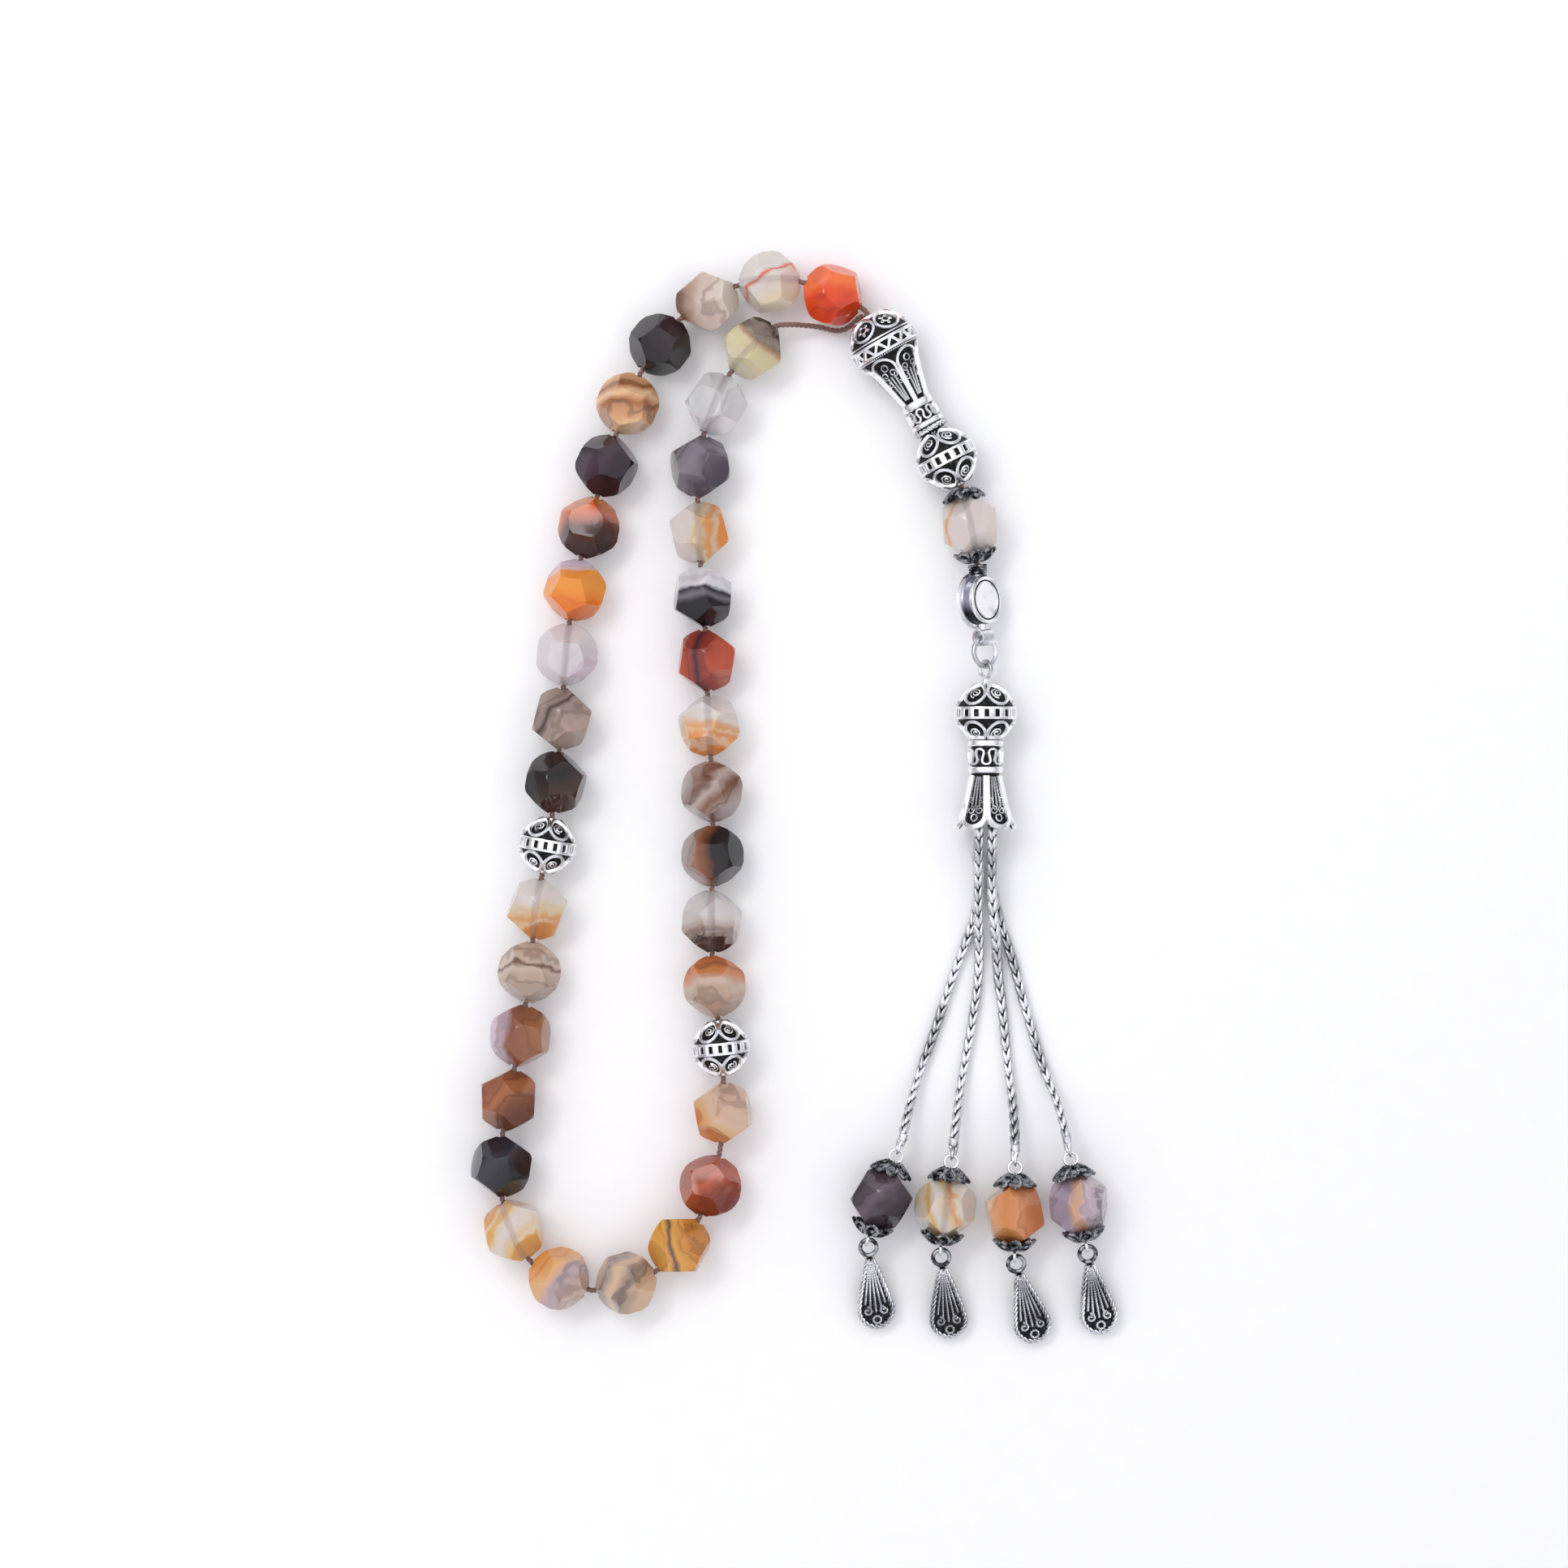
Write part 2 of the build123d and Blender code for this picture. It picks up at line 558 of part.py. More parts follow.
def loop_cord_points():
    """From the knot out of the mouth, through every bead, and back under the first bead to the knot."""
    knot = moved(IMAME_PLACE, KNOT_AT).origin
    hole = moved(IMAME_PLACE, CORD_HOLE_AT).origin
    apart = Vector(0, 0, CORD_RADIUS + CORD_GAP)
    into_first = moved(BEAD_PLACES[0], -BEAD_RADIUS - 0.7).origin
    out_of_last = moved(BEAD_PLACES[-1], BEAD_RADIUS + 0.5).origin
    back = [Vector(MOUTH.X + x, MOUTH.Y + y, z) for x, y, z in RETURN_ROUTE]
    out = [knot + apart, hole + apart, into_first]
    return [*out, *CORD_CORNERS, out_of_last, *back, hole - apart, knot - apart]


def knot_at(place, radius):
    """A tight round knot on the place's X axis."""
    with BuildPart(Plane(origin=place.origin, z_dir=place.x_dir)) as knot:
        Cylinder(radius, KNOT_SHARE * 2 * radius)
        ends = knot.edges().filter_by(GeomType.CIRCLE)
        chamfer(ends, radius * (1 - KNOT_SHARE))
    return knot.part


def loop_cord():
    strand = tube("loop_cord", loop_cord_points(), CORD_RADIUS, CORD_TURN)
    knot = knot_at(moved(IMAME_PLACE, KNOT_AT), KNOT_RADIUS)
    with BuildPart() as cord:
        add(strand.part)
        add(knot)
    return cord


def head_cord():
    """From just below the loop's knot to its own end knot in the medallion's neck."""
    end = moved(NECK_PLACE, NECK_SOCKET + END_KNOT_RADIUS + BORE_CLEARANCE)
    start = moved(IMAME_PLACE, KNOT_AT + KNOT_RADIUS + 0.15).origin
    points = [start, IMAME_END, BALL_END, NECK_TOP, end.origin]
    strand = tube("head_cord", points, CORD_RADIUS, 0.7)
    knot = knot_at(end, END_KNOT_RADIUS)
    with BuildPart() as cord:
        add(strand.part)
        add(knot)
    return cord


def chain(number):
    """A chain as a round solid, with its top eyelet on a bar and its end ring on the pendant's eye."""
    across, height = CHAIN_TOPS[number]
    top = TASSEL_PLACE.origin + TASSEL_PLACE.x_dir * BAR_AT + Vector(across, 0, height)
    eyelet_radius = BAR_DIAMETER / 2 + EYELET_WIRE / 2 + 0.15
    pendant = PENDANT_PLACES[number]
    ring_at = PIN_EYE_AT + PIN_EYE_RADIUS - PIN_WIRE - LINK_PLAY + CHAIN_RING_RADIUS
    ring = rolled(moved(pendant, -ring_at), 90)
    eyelet = wire_ring(rolled(along(top, -90), 90), eyelet_radius, EYELET_WIRE)
    end_ring = wire_ring(ring, CHAIN_RING_RADIUS, PIN_WIRE)
    points = [
        top + Vector(0, -eyelet_radius, 0),
        *(Vector(TASSEL_X + x, y, z) for x, y, z in CHAIN_ROUTES[number]),
        ring.origin - pendant.x_dir * CHAIN_RING_RADIUS,
    ]
    links = tube(f"chain_{number + 1}", points, CHAIN_DIAMETER / 2, CHAIN_DIAMETER * 3)
    with BuildPart() as piece:
        add(links.part)
        add(eyelet.part)
        add(end_ring.part)
    return piece


# ---- pendants -------------------------------------------------------------------------------


def pendant_pin(place):
    """The wire through a pendant stone, with an eye at each end, and its two caps."""
    pin = PIN_WIRE / 2
    top_eye = wire_ring(moved(place, -PIN_EYE_AT), PIN_EYE_RADIUS, PIN_WIRE)
    bottom_eye = wire_ring(rolled(moved(place, DROP_EYE_AT), 90), DROP_EYE_RADIUS, PIN_WIRE)
    caps = pair_of_caps(place, pin + 0.05)
    start = -PIN_EYE_AT + PIN_EYE_RADIUS
    length = DROP_EYE_AT - DROP_EYE_RADIUS - start
    shank = Plane(origin=moved(place, start).origin, z_dir=place.x_dir)
    with BuildPart() as wire:
        with BuildSketch(shank):
            Circle(PIN_SHANK / 2)
        extrude(amount=length)
        add(top_eye.part)
        add(bottom_eye.part)
        add(caps.part)
    return wire


def drop_ring_place(number):
    """Where a drop's ring hangs in its pin's bottom eye, sloping down so that its tip nears the table."""
    pendant = PENDANT_PLACES[number]
    wire_at = DROP_EYE_AT + DROP_EYE_RADIUS - (PIN_WIRE + DROP_RING_WIRE) / 2 - DROP_PLAY
    hang = moved(pendant, wire_at).origin
    slope = math.degrees(math.asin((LEVEL - DROP_THICKNESS * 0.75) / (DROP_LENGTH + DROP_RING_DIAMETER)))
    return along(hang, DROP_HEADINGS[number], -slope)


def drop(number):
    """A flat silver tear with a ring at its narrow end."""
    hang = drop_ring_place(number)
    ring = wire_ring(moved(hang, DROP_RING_RADIUS), DROP_RING_RADIUS, DROP_RING_WIRE)
    start = 2 * DROP_RING_RADIUS
    wide = DROP_WIDTH / 2
    end = start + DROP_LENGTH
    back = Plane(
        origin=hang.origin - hang.z_dir * (DROP_THICKNESS / 2), x_dir=hang.x_dir, z_dir=hang.z_dir
    )
    with BuildPart() as tear:
        with BuildSketch(back) as outline:
            with BuildLine():
                ThreePointArc((end - wide, -wide), (end, 0), (end - wide, wide))
                ThreePointArc((end - wide, wide), (start + 5.0, wide * 0.66), (start, 0.35))
                Line((start, 0.35), (start, -0.35))
                ThreePointArc((start, -0.35), (start + 5.0, -wide * 0.66), (end - wide, -wide))
            make_face()
        extrude(amount=DROP_THICKNESS - DROP_PANEL)
        with BuildSketch(back):
            offset(outline.sketch_local, amount=-DROP_PANEL_EDGE)
        extrude(amount=DROP_THICKNESS)
        add(ring.part)
    return tear


# ---- making everything ----------------------------------------------------------------------


def main():
    os.makedirs("parts", exist_ok=True)
    for n, place in enumerate(BEAD_PLACES):
        if n in DIVIDERS:
            save(hollow_ball(place, DIVIDER_DIAMETER, BORE_RADIUS), f"divider_{DIVIDERS.index(n) + 1}")
        else:
            before = sum(d < n for d in DIVIDERS)
            save(faceted_stone(place, BORE_RADIUS, n), f"stone_{n + 1 - before:02d}")
    save(loop_cord(), "loop_cord")
    save(head_cord(), "head_cord")
    save(imame(), "imame")
    save(hollow_ball(BALL_PLACE, BALL_DIAMETER, BORE_RADIUS), "imame_ball")
    save(pair_of_caps(HEAD_BEAD_PLACE, BORE_RADIUS), "head_caps")
    save(faceted_stone(HEAD_BEAD_PLACE, BORE_RADIUS, len(HEADINGS)), "head_stone")
    save(medallion(), "medallion")
    save(wire_ring(RING_PLACE, RING_RADIUS, RING_WIRE), "jump_ring")
    save(tassel_head(), "tassel_head")
    for number, place in enumerate(PENDANT_PLACES):
        save(chain(number), f"chain_{number + 1}")
        save(pendant_pin(place), f"pendant_pin_{number + 1}")
        save(faceted_stone(place, PIN_WIRE / 2 + BORE_CLEARANCE, 50 + number), f"pendant_stone_{number + 1}")
        save(drop(number), f"drop_{number + 1}")


if __name__ == "__main__":
    main()
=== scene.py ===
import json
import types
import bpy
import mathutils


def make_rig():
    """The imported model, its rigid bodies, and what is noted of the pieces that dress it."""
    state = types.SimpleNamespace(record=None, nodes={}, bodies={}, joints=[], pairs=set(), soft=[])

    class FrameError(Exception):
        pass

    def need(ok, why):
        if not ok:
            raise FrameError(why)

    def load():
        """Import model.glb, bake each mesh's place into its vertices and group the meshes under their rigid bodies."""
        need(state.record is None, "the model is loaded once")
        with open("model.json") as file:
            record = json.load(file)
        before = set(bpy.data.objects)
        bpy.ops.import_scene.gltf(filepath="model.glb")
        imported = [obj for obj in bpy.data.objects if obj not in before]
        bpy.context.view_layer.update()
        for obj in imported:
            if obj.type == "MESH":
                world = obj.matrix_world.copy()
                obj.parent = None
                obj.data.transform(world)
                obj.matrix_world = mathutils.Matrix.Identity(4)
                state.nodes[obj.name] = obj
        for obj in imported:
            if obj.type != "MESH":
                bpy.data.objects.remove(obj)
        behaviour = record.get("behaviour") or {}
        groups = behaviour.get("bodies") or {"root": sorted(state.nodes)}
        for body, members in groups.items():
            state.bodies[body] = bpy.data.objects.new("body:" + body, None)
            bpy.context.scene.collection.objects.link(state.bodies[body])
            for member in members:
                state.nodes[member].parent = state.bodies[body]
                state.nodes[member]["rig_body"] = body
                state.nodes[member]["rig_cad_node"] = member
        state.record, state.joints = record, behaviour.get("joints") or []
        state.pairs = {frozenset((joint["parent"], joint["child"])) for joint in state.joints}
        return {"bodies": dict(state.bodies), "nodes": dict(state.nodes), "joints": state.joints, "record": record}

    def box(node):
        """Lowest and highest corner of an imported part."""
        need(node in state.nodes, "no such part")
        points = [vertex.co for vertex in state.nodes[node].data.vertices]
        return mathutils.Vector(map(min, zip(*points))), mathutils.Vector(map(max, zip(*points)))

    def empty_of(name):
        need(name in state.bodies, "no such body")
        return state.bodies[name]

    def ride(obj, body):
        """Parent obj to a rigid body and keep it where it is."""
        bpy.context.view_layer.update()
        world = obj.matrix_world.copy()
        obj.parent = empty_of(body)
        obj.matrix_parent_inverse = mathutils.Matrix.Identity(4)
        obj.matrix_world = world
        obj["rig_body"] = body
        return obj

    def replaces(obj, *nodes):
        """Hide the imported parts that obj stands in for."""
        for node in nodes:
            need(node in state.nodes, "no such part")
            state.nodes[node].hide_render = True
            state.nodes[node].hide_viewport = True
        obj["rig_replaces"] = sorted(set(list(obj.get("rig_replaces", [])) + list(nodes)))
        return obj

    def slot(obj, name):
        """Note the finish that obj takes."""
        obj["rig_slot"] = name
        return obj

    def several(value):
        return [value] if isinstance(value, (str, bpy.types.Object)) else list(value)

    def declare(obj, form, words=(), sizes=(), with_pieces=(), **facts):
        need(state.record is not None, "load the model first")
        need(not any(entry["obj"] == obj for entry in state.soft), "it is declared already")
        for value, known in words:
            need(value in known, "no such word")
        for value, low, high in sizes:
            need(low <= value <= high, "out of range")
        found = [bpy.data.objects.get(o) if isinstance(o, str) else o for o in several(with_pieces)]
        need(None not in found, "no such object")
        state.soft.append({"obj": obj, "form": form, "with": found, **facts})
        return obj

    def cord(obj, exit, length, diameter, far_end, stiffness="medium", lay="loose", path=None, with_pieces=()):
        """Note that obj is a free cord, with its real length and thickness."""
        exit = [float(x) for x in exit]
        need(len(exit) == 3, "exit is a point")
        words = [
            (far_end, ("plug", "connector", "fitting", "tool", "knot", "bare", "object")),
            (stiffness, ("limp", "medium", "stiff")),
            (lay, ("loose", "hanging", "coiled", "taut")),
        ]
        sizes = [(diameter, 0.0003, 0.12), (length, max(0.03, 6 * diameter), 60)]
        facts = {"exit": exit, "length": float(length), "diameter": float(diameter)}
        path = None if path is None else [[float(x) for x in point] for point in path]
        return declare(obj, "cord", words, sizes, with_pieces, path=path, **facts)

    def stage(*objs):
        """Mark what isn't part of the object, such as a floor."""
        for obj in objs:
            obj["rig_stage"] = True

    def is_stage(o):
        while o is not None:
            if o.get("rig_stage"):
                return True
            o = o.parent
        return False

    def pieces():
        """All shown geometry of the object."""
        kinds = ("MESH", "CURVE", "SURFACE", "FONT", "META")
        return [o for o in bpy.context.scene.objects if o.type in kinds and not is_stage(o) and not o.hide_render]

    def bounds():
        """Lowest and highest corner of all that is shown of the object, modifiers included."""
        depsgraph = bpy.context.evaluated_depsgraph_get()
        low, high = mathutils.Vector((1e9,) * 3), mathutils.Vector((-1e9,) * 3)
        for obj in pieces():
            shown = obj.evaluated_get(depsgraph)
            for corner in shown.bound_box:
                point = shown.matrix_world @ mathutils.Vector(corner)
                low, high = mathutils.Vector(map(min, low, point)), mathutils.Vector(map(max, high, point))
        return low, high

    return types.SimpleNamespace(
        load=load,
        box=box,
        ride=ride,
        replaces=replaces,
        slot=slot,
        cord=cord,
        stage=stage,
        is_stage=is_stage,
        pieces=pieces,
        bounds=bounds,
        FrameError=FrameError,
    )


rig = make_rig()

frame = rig.load()

import json
import math

import bmesh
import bpy
import numpy as np

# The looks of a string of prayer beads: faceted agate, pierced and oxidised silver, twisted cord and
# foxtail chains. Shapes are worked out in millimetres on each piece's own axis, and then placed.

MM = 0.001
JOINTS = {j["name"]: j for j in frame["joints"]}


def box_of_all():
    return [[float(x) for x in corner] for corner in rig.bounds()]


CAD_BOX = box_of_all()


# ---- places, from the joints of the model ------------------------------------------------------


def unit(v):
    v = np.array(v, float)
    return v / np.linalg.norm(v)


class Place:
    """An origin in metres with X along the string; turns points in millimetres into the frame."""

    def __init__(self, origin, x, z=(0, 0, 1)):
        self.origin, self.x = np.array(origin, float), unit(x)
        self.z = unit(np.array(z, float) - self.x * np.dot(z, self.x))
        self.y = np.cross(self.z, self.x)

    def at(self, points):
        return self.origin + (np.asarray(points, float) * MM) @ np.array([self.x, self.y, self.z])

    def along(self, distance):
        return Place(self.origin + self.x * distance * MM, self.x, self.z)

    def rolled(self, degrees):
        a = math.radians(degrees)
        return Place(self.origin, self.x, self.z * math.cos(a) - self.y * math.sin(a))

    def about(self, axis):
        """The same origin with X along one of this place's other axes."""
        return Place(self.origin, {"y": self.y, "z": self.z}[axis], self.x)


WORLD = Place((0, 0, 0), (1, 0, 0))


def joint_place(name):
    return Place(JOINTS[name]["pos_m"], JOINTS[name]["axis"])


def middle_of(node):
    return tuple((a + b) / 2 for a, b in zip(*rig.box(node)))


# ---- camera, floor and light -------------------------------------------------------------------

VIEW_CENTRE = (-0.0018, 0.0024)
VIEW_WIDTH = 0.2477
STRING_HEIGHT = 0.005
LENS = 100.0
SENSOR = 36.0
# Each lamp: power, width and place. All of them face the middle of the table.
LIGHTS = {
    "softbox": (4.2, 0.5, (-0.35, 0.35, 0.75)),
    "right strip": (1.6, 0.3, (0.6, -0.1, 0.45)),
    "low front": (1.2, 0.3, (0.0, -0.6, 0.4)),
}
# The room from below the horizon to overhead; its grey walls are what the silver mirrors.
ROOM_TONES = ((0.4, "d4d4d8"), (0.6, "9a9ba2"), (0.74, "d6d7e0"), (0.86, "f4f4fa"), (1, "fafaff"))
ROOM_STRENGTH = 1.16
FLOOR_HALF = 2.0


def area_light(name, energy, size, position):
    data = bpy.data.lights.new(name, "AREA")
    data.energy, data.size = energy, size
    lamp = bpy.data.objects.new(name, data)
    lamp.location = position
    aim = unit(np.zeros(3) - np.array(position, float))
    lamp.rotation_euler = (math.acos(-aim[2]), 0, math.atan2(aim[0], -aim[1]))
    bpy.context.scene.collection.objects.link(lamp)


def studio():
    scene = bpy.context.scene
    scene.view_settings.view_transform = "Standard"
    data = bpy.data.cameras.new("camera")
    data.lens, data.sensor_width, data.clip_end = LENS, SENSOR, 20
    camera = bpy.data.objects.new("camera", data)
    camera.location = (*VIEW_CENTRE, LENS / SENSOR * VIEW_WIDTH + STRING_HEIGHT)
    scene.collection.objects.link(camera)
    scene.camera = camera
    for name, lamp in LIGHTS.items():
        area_light(name, *lamp)
    world = bpy.data.worlds.new("room")
    scene.world = world
    world.use_nodes = True
    g = Graph(world.node_tree)
    g.tree.nodes.clear()
    up = g.value("ShaderNodeSeparateXYZ", {}, {0: g.out("ShaderNodeTexCoord", "Generated")}, "Z")
    tones = g.ramp(up * 0.5 + 0.5, ROOM_TONES)
    light = g.node("ShaderNodeBackground", {}, {"Color": tones, "Strength": ROOM_STRENGTH})
    g.node("ShaderNodeOutputWorld", {}, {"Surface": light.outputs[0]})


def lay_floor():
    corners = np.array([(-1, -1, 0), (1, -1, 0), (1, 1, 0), (-1, 1, 0.0)]) * FLOOR_HALF
    floor = bpy.data.objects.new("floor", mesh_from((corners, [(0, 1, 2, 3)]), "floor"))
    floor.data.materials.append(finish_material("floor paper", floor_paper))
    bpy.context.scene.collection.objects.link(floor)
    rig.stage(floor)


# ---- nodes -------------------------------------------------------------------------------------


class Value:
    """A node's number socket that can stand in arithmetic."""

    def __init__(self, graph, socket):
        self.graph, self.socket = graph, socket

    def math(self, operation, *values):
        inputs = dict(enumerate(values))
        return self.graph.value("ShaderNodeMath", {"operation": operation}, inputs)

    def __add__(self, other):
        return self.math("ADD", self, other)

    def __sub__(self, other):
        return self.math("SUBTRACT", self, other)

    def __mul__(self, other):
        return self.math("MULTIPLY", self, other)

    def __truediv__(self, other):
        return self.math("DIVIDE", self, other)

    def __rsub__(self, other):
        return self.math("SUBTRACT", other, self)

    __radd__, __rmul__ = __add__, __mul__

    def sine(self):
        return self.math("SINE", self)

    def size(self):
        return self.math("ABSOLUTE", self)

    def between(self, low, high):
        """0 below low, 1 above high, smooth between them."""
        settings = {"interpolation_type": "SMOOTHSTEP"}
        inputs = {"Value": self, "From Min": low, "From Max": high}
        return self.graph.value("ShaderNodeMapRange", settings, inputs)


def tone(code):
    """A hex colour as linear red, green, blue and alpha."""
    parts = [int(code[i:i + 2], 16) / 255 for i in (0, 2, 4)]
    return (*(p / 12.92 if p < 0.04045 else ((p + 0.055) / 1.055) ** 2.4 for p in parts), 1.0)


class Graph:
    """A node tree under construction."""

    def __init__(self, tree):
        self.tree = tree

    def node(self, kind, settings, inputs):
        made = self.tree.nodes.new(kind)
        for key, setting in settings.items():
            if key == "stops":
                self.set_stops(made.color_ramp, setting)
            else:
                setattr(made, key, setting)
        for key, given in inputs.items():
            if isinstance(given, Value):
                given = given.socket
            if isinstance(given, bpy.types.NodeSocket):
                self.tree.links.new(given, made.inputs[key])
            else:
                made.inputs[key].default_value = given
        return made

    def set_stops(self, ramp, stops):
        while len(ramp.elements) < len(stops):
            ramp.elements.new(1.0)
        for element, (at, code) in zip(ramp.elements, stops):
            element.position, element.color = at, tone(code)

    def out(self, kind, socket=0, settings=None, inputs=None):
        return self.node(kind, settings or {}, inputs or {}).outputs[socket]

    def value(self, kind, settings, inputs, socket=0):
        return Value(self, self.out(kind, socket, settings, inputs))

    def vector(self, operation, *values, **named):
        inputs = {**dict(enumerate(values)), **named}
        return self.out("ShaderNodeVectorMath", 0, {"operation": operation}, inputs)

    def dot(self, first, second):
        settings = {"operation": "DOT_PRODUCT"}
        return self.value("ShaderNodeVectorMath", settings, {0: first, 1: second}, "Value")

    def copies(self, points, shape, **rotation):
        named = {"Points": points, "Instance": shape, **rotation}
        return self.out("GeometryNodeInstanceOnPoints", 0, {}, named)

    def ramp(self, factor, stops):
        return self.out("ShaderNodeValToRGB", 0, {"stops": stops}, {"Fac": factor})

    def noise(self, where, scale, detail=2.0, rough=0.5):
        inputs = {"Vector": where, "Scale": scale, "Detail": detail, "Roughness": rough}
        return self.value("ShaderNodeTexNoise", {}, inputs, "Fac")

    def mixed(self, factor, first, second, blend="MIX"):
        settings = {"data_type": "RGBA", "blend_type": blend}
        return self.out("ShaderNodeMix", 2, settings, {0: factor, 6: first, 7: second})

    def bump(self, height, strength, distance):
        inputs = {"Height": height, "Strength": strength, "Distance": distance}
        return self.out("ShaderNodeBump", 0, {}, inputs)


def finish_material(name, make, **fixed):
    """A material whose nodes make() joins to the shader's sockets; fixed are plain shader values."""
    material = bpy.data.materials.new(name)
    material.use_nodes = True
    material.node_tree.nodes.clear()
    g = Graph(material.node_tree)
    where = g.out("ShaderNodeTexCoord", "Object")
    shader = g.node("ShaderNodeBsdfPrincipled", {}, {**fixed, **make(g, where)})
    g.node("ShaderNodeOutputMaterial", {}, {"Surface": shader.outputs[0]})
    return material


# ---- finishes ----------------------------------------------------------------------------------


def bright_silver(g, where):
    """Hand-finished silver: soft tarnish in clouds, fine scratches, a warm tinge here and there."""
    cloud = g.noise(where, 420, 3)
    fine = g.noise(where, 2600, 2)
    tarnish = cloud.between(0.56, 0.74)
    colour = g.mixed(tarnish * 0.5, tone("f4f4f6"), tone("a8a49e"))
    normal = g.bump(fine + cloud * 0.6, 0.25, 0.00012)
    return {"Base Color": colour, "Roughness": 0.17 + fine * 0.16 + tarnish * 0.1, "Normal": normal}


def dark_silver(g, where):
    """The oxidised black of the recesses, with worn specks."""
    grain = g.noise(where, 1500, 4)
    colour = g.mixed(grain.between(0.52, 0.78), tone("121113"), tone("56545a"))
    return {"Base Color": colour, "Roughness": 0.3 + grain * 0.3, "Normal": g.bump(grain, 0.5, 0.0002)}


def antique_silver(g, where):
    """Grey cast silver, black where it was never polished."""
    grain = g.noise(where, 900, 4)
    colour = g.mixed(grain.between(0.38, 0.62), tone("2c2d31"), tone("b4b6ba"))
    return {"Base Color": colour, "Roughness": 0.26 + grain * 0.2, "Normal": g.bump(grain, 0.6, 0.0003)}


def chain_silver(g, where):
    """Bright wire with darker, greyer runs along the chain."""
    run = g.noise(where, 160, 2)
    fine = g.noise(where, 2400, 2)
    colour = g.mixed(run.between(0.42, 0.66) * 0.6, tone("ececf0"), tone("6c6c70"))
    return {"Base Color": colour, "Roughness": 0.2 + fine * 0.15, "Normal": g.bump(fine, 0.3, 0.0001)}


def silver_with_painted_reflection(g, where):
    """A plain polished wall with painted reflection and shade: pale where it faces away along the string, painted
    nearly black below.
    """
    # The ramp from near black to pale along one fixed direction is painted reflection and shade, not the silver's own
    # colour.
    run = g.dot(g.vector("SUBTRACT", where, middle_of("medallion")), (0.3, 1.0, 0.2))
    fine = g.noise(where, 2600, 2)
    colour = g.mixed(run.between(-0.0016, 0.0012), tone("24252b"), tone("d2d2e2"))
    return {"Base Color": colour, "Roughness": 0.12 + fine * 0.14, "Normal": g.bump(fine, 0.2, 0.0001)}


def waxed_cord(g, where):
    """Brown waxed fibre with a mauve cast and fine hairs."""
    hairs = g.noise(where, 3200, 4, 0.7)
    patch = g.noise(where, 240, 2)
    colour = g.mixed(patch, tone("7c574b"), tone("a98a80"))
    colour = g.mixed(hairs.between(0.35, 0.75) * 0.4, colour, tone("3a2620"))
    return {"Base Color": colour, "Roughness": 0.55 + hairs * 0.3, "Normal": g.bump(hairs, 0.6, 0.0001)}


def floor_paper(g, where):
    grain = g.noise(where, 260, 3)
    return {"Base Color": g.mixed(grain, tone("f6f6f6"), tone("fafafa")), "Roughness": 0.8 + grain * 0.1}


CLEAR_FROM = 0.2
STONE_RADIUS = 5.0


def agate(name, number):
    """Banded stone: colours run across it along a heading, bent by noise, with fine bands and specks."""
    heading, run, warp, bands, specks, clear = STONES[name]
    words = run.split()
    stops = [(int(at) / 100, code) for at, code in zip(words[::2], words[1::2])]
    turn = math.radians(heading)
    axis = (math.cos(turn) * 0.94, math.sin(turn) * 0.94, 0.34)
    sideways = tuple(np.cross(JOINTS[name + "_spin"]["axis"], (0, 0, 1)))
    dark = tone("1a1214")
    opaque = clear < CLEAR_FROM

    def make(g, where):
        local = g.vector("SUBTRACT", where, middle_of(name))
        local = g.vector("SCALE", local, Scale=1 / (STONE_RADIUS * MM))
        shift = g.vector("ADD", local, (number * 3.7, number * 1.3, 0))
        big = g.noise(shift, 0.9, 2)
        small = g.noise(shift, 3.2, 4, 0.6)
        field = g.dot(local, axis) + (big - 0.5) * (warp * 2.2) + (small - 0.5) * 0.16
        base = g.ramp(field * 0.5 + 0.5, stops)
        stripe = (field * 17 + small * 5).sine() * 0.5 + 0.5
        vein = (field * 6.3 + big * 9).sine() * 0.5 + 0.5
        pale = (stripe * 0.55 + vein * 0.45).between(0.3, 0.95) * bands
        base = g.mixed(pale, base, tone("f2e6dc"), "MULTIPLY" if opaque else "MIX")
        base = g.mixed(vein.between(0.86, 1.0) * bands * (0.7 if opaque else 0.25), base, dark)
        cloud = g.noise(shift, 2.1, 5, 0.7) * 0.75 + field.between(0.1, 0.9) * 0.3
        base = g.mixed(cloud.between(0.62, 0.7) * specks, base, dark)
        base = g.mixed(0.35 + clear, base, tone("fff8f6"), "OVERLAY")
        if not opaque:
            bore = 0.34 - g.dot(local, sideways).size().between(0.05, 0.16) * 0.34
            base = g.mixed(bore, base, tone("8c7f86"))
        rub = g.noise(shift, 9, 3)
        return {"Base Color": base, "Roughness": 0.07 + rub * 0.1, "Normal": g.bump(rub, 0.06, 0.0002)}

    fixed = {
        "IOR": 1.54,
        "Transmission Weight": min(clear * 1.5, 0.6),
        "Subsurface Weight": 0.45,
        "Subsurface Radius": (0.0022, 0.0014, 0.001),
        "Subsurface Scale": 0.6,
        "Specular IOR Level": 0.34,
        "Coat Weight": 0.1,
        "Coat Roughness": 0.04,
    }
    return finish_material(name + " agate", make, **fixed)


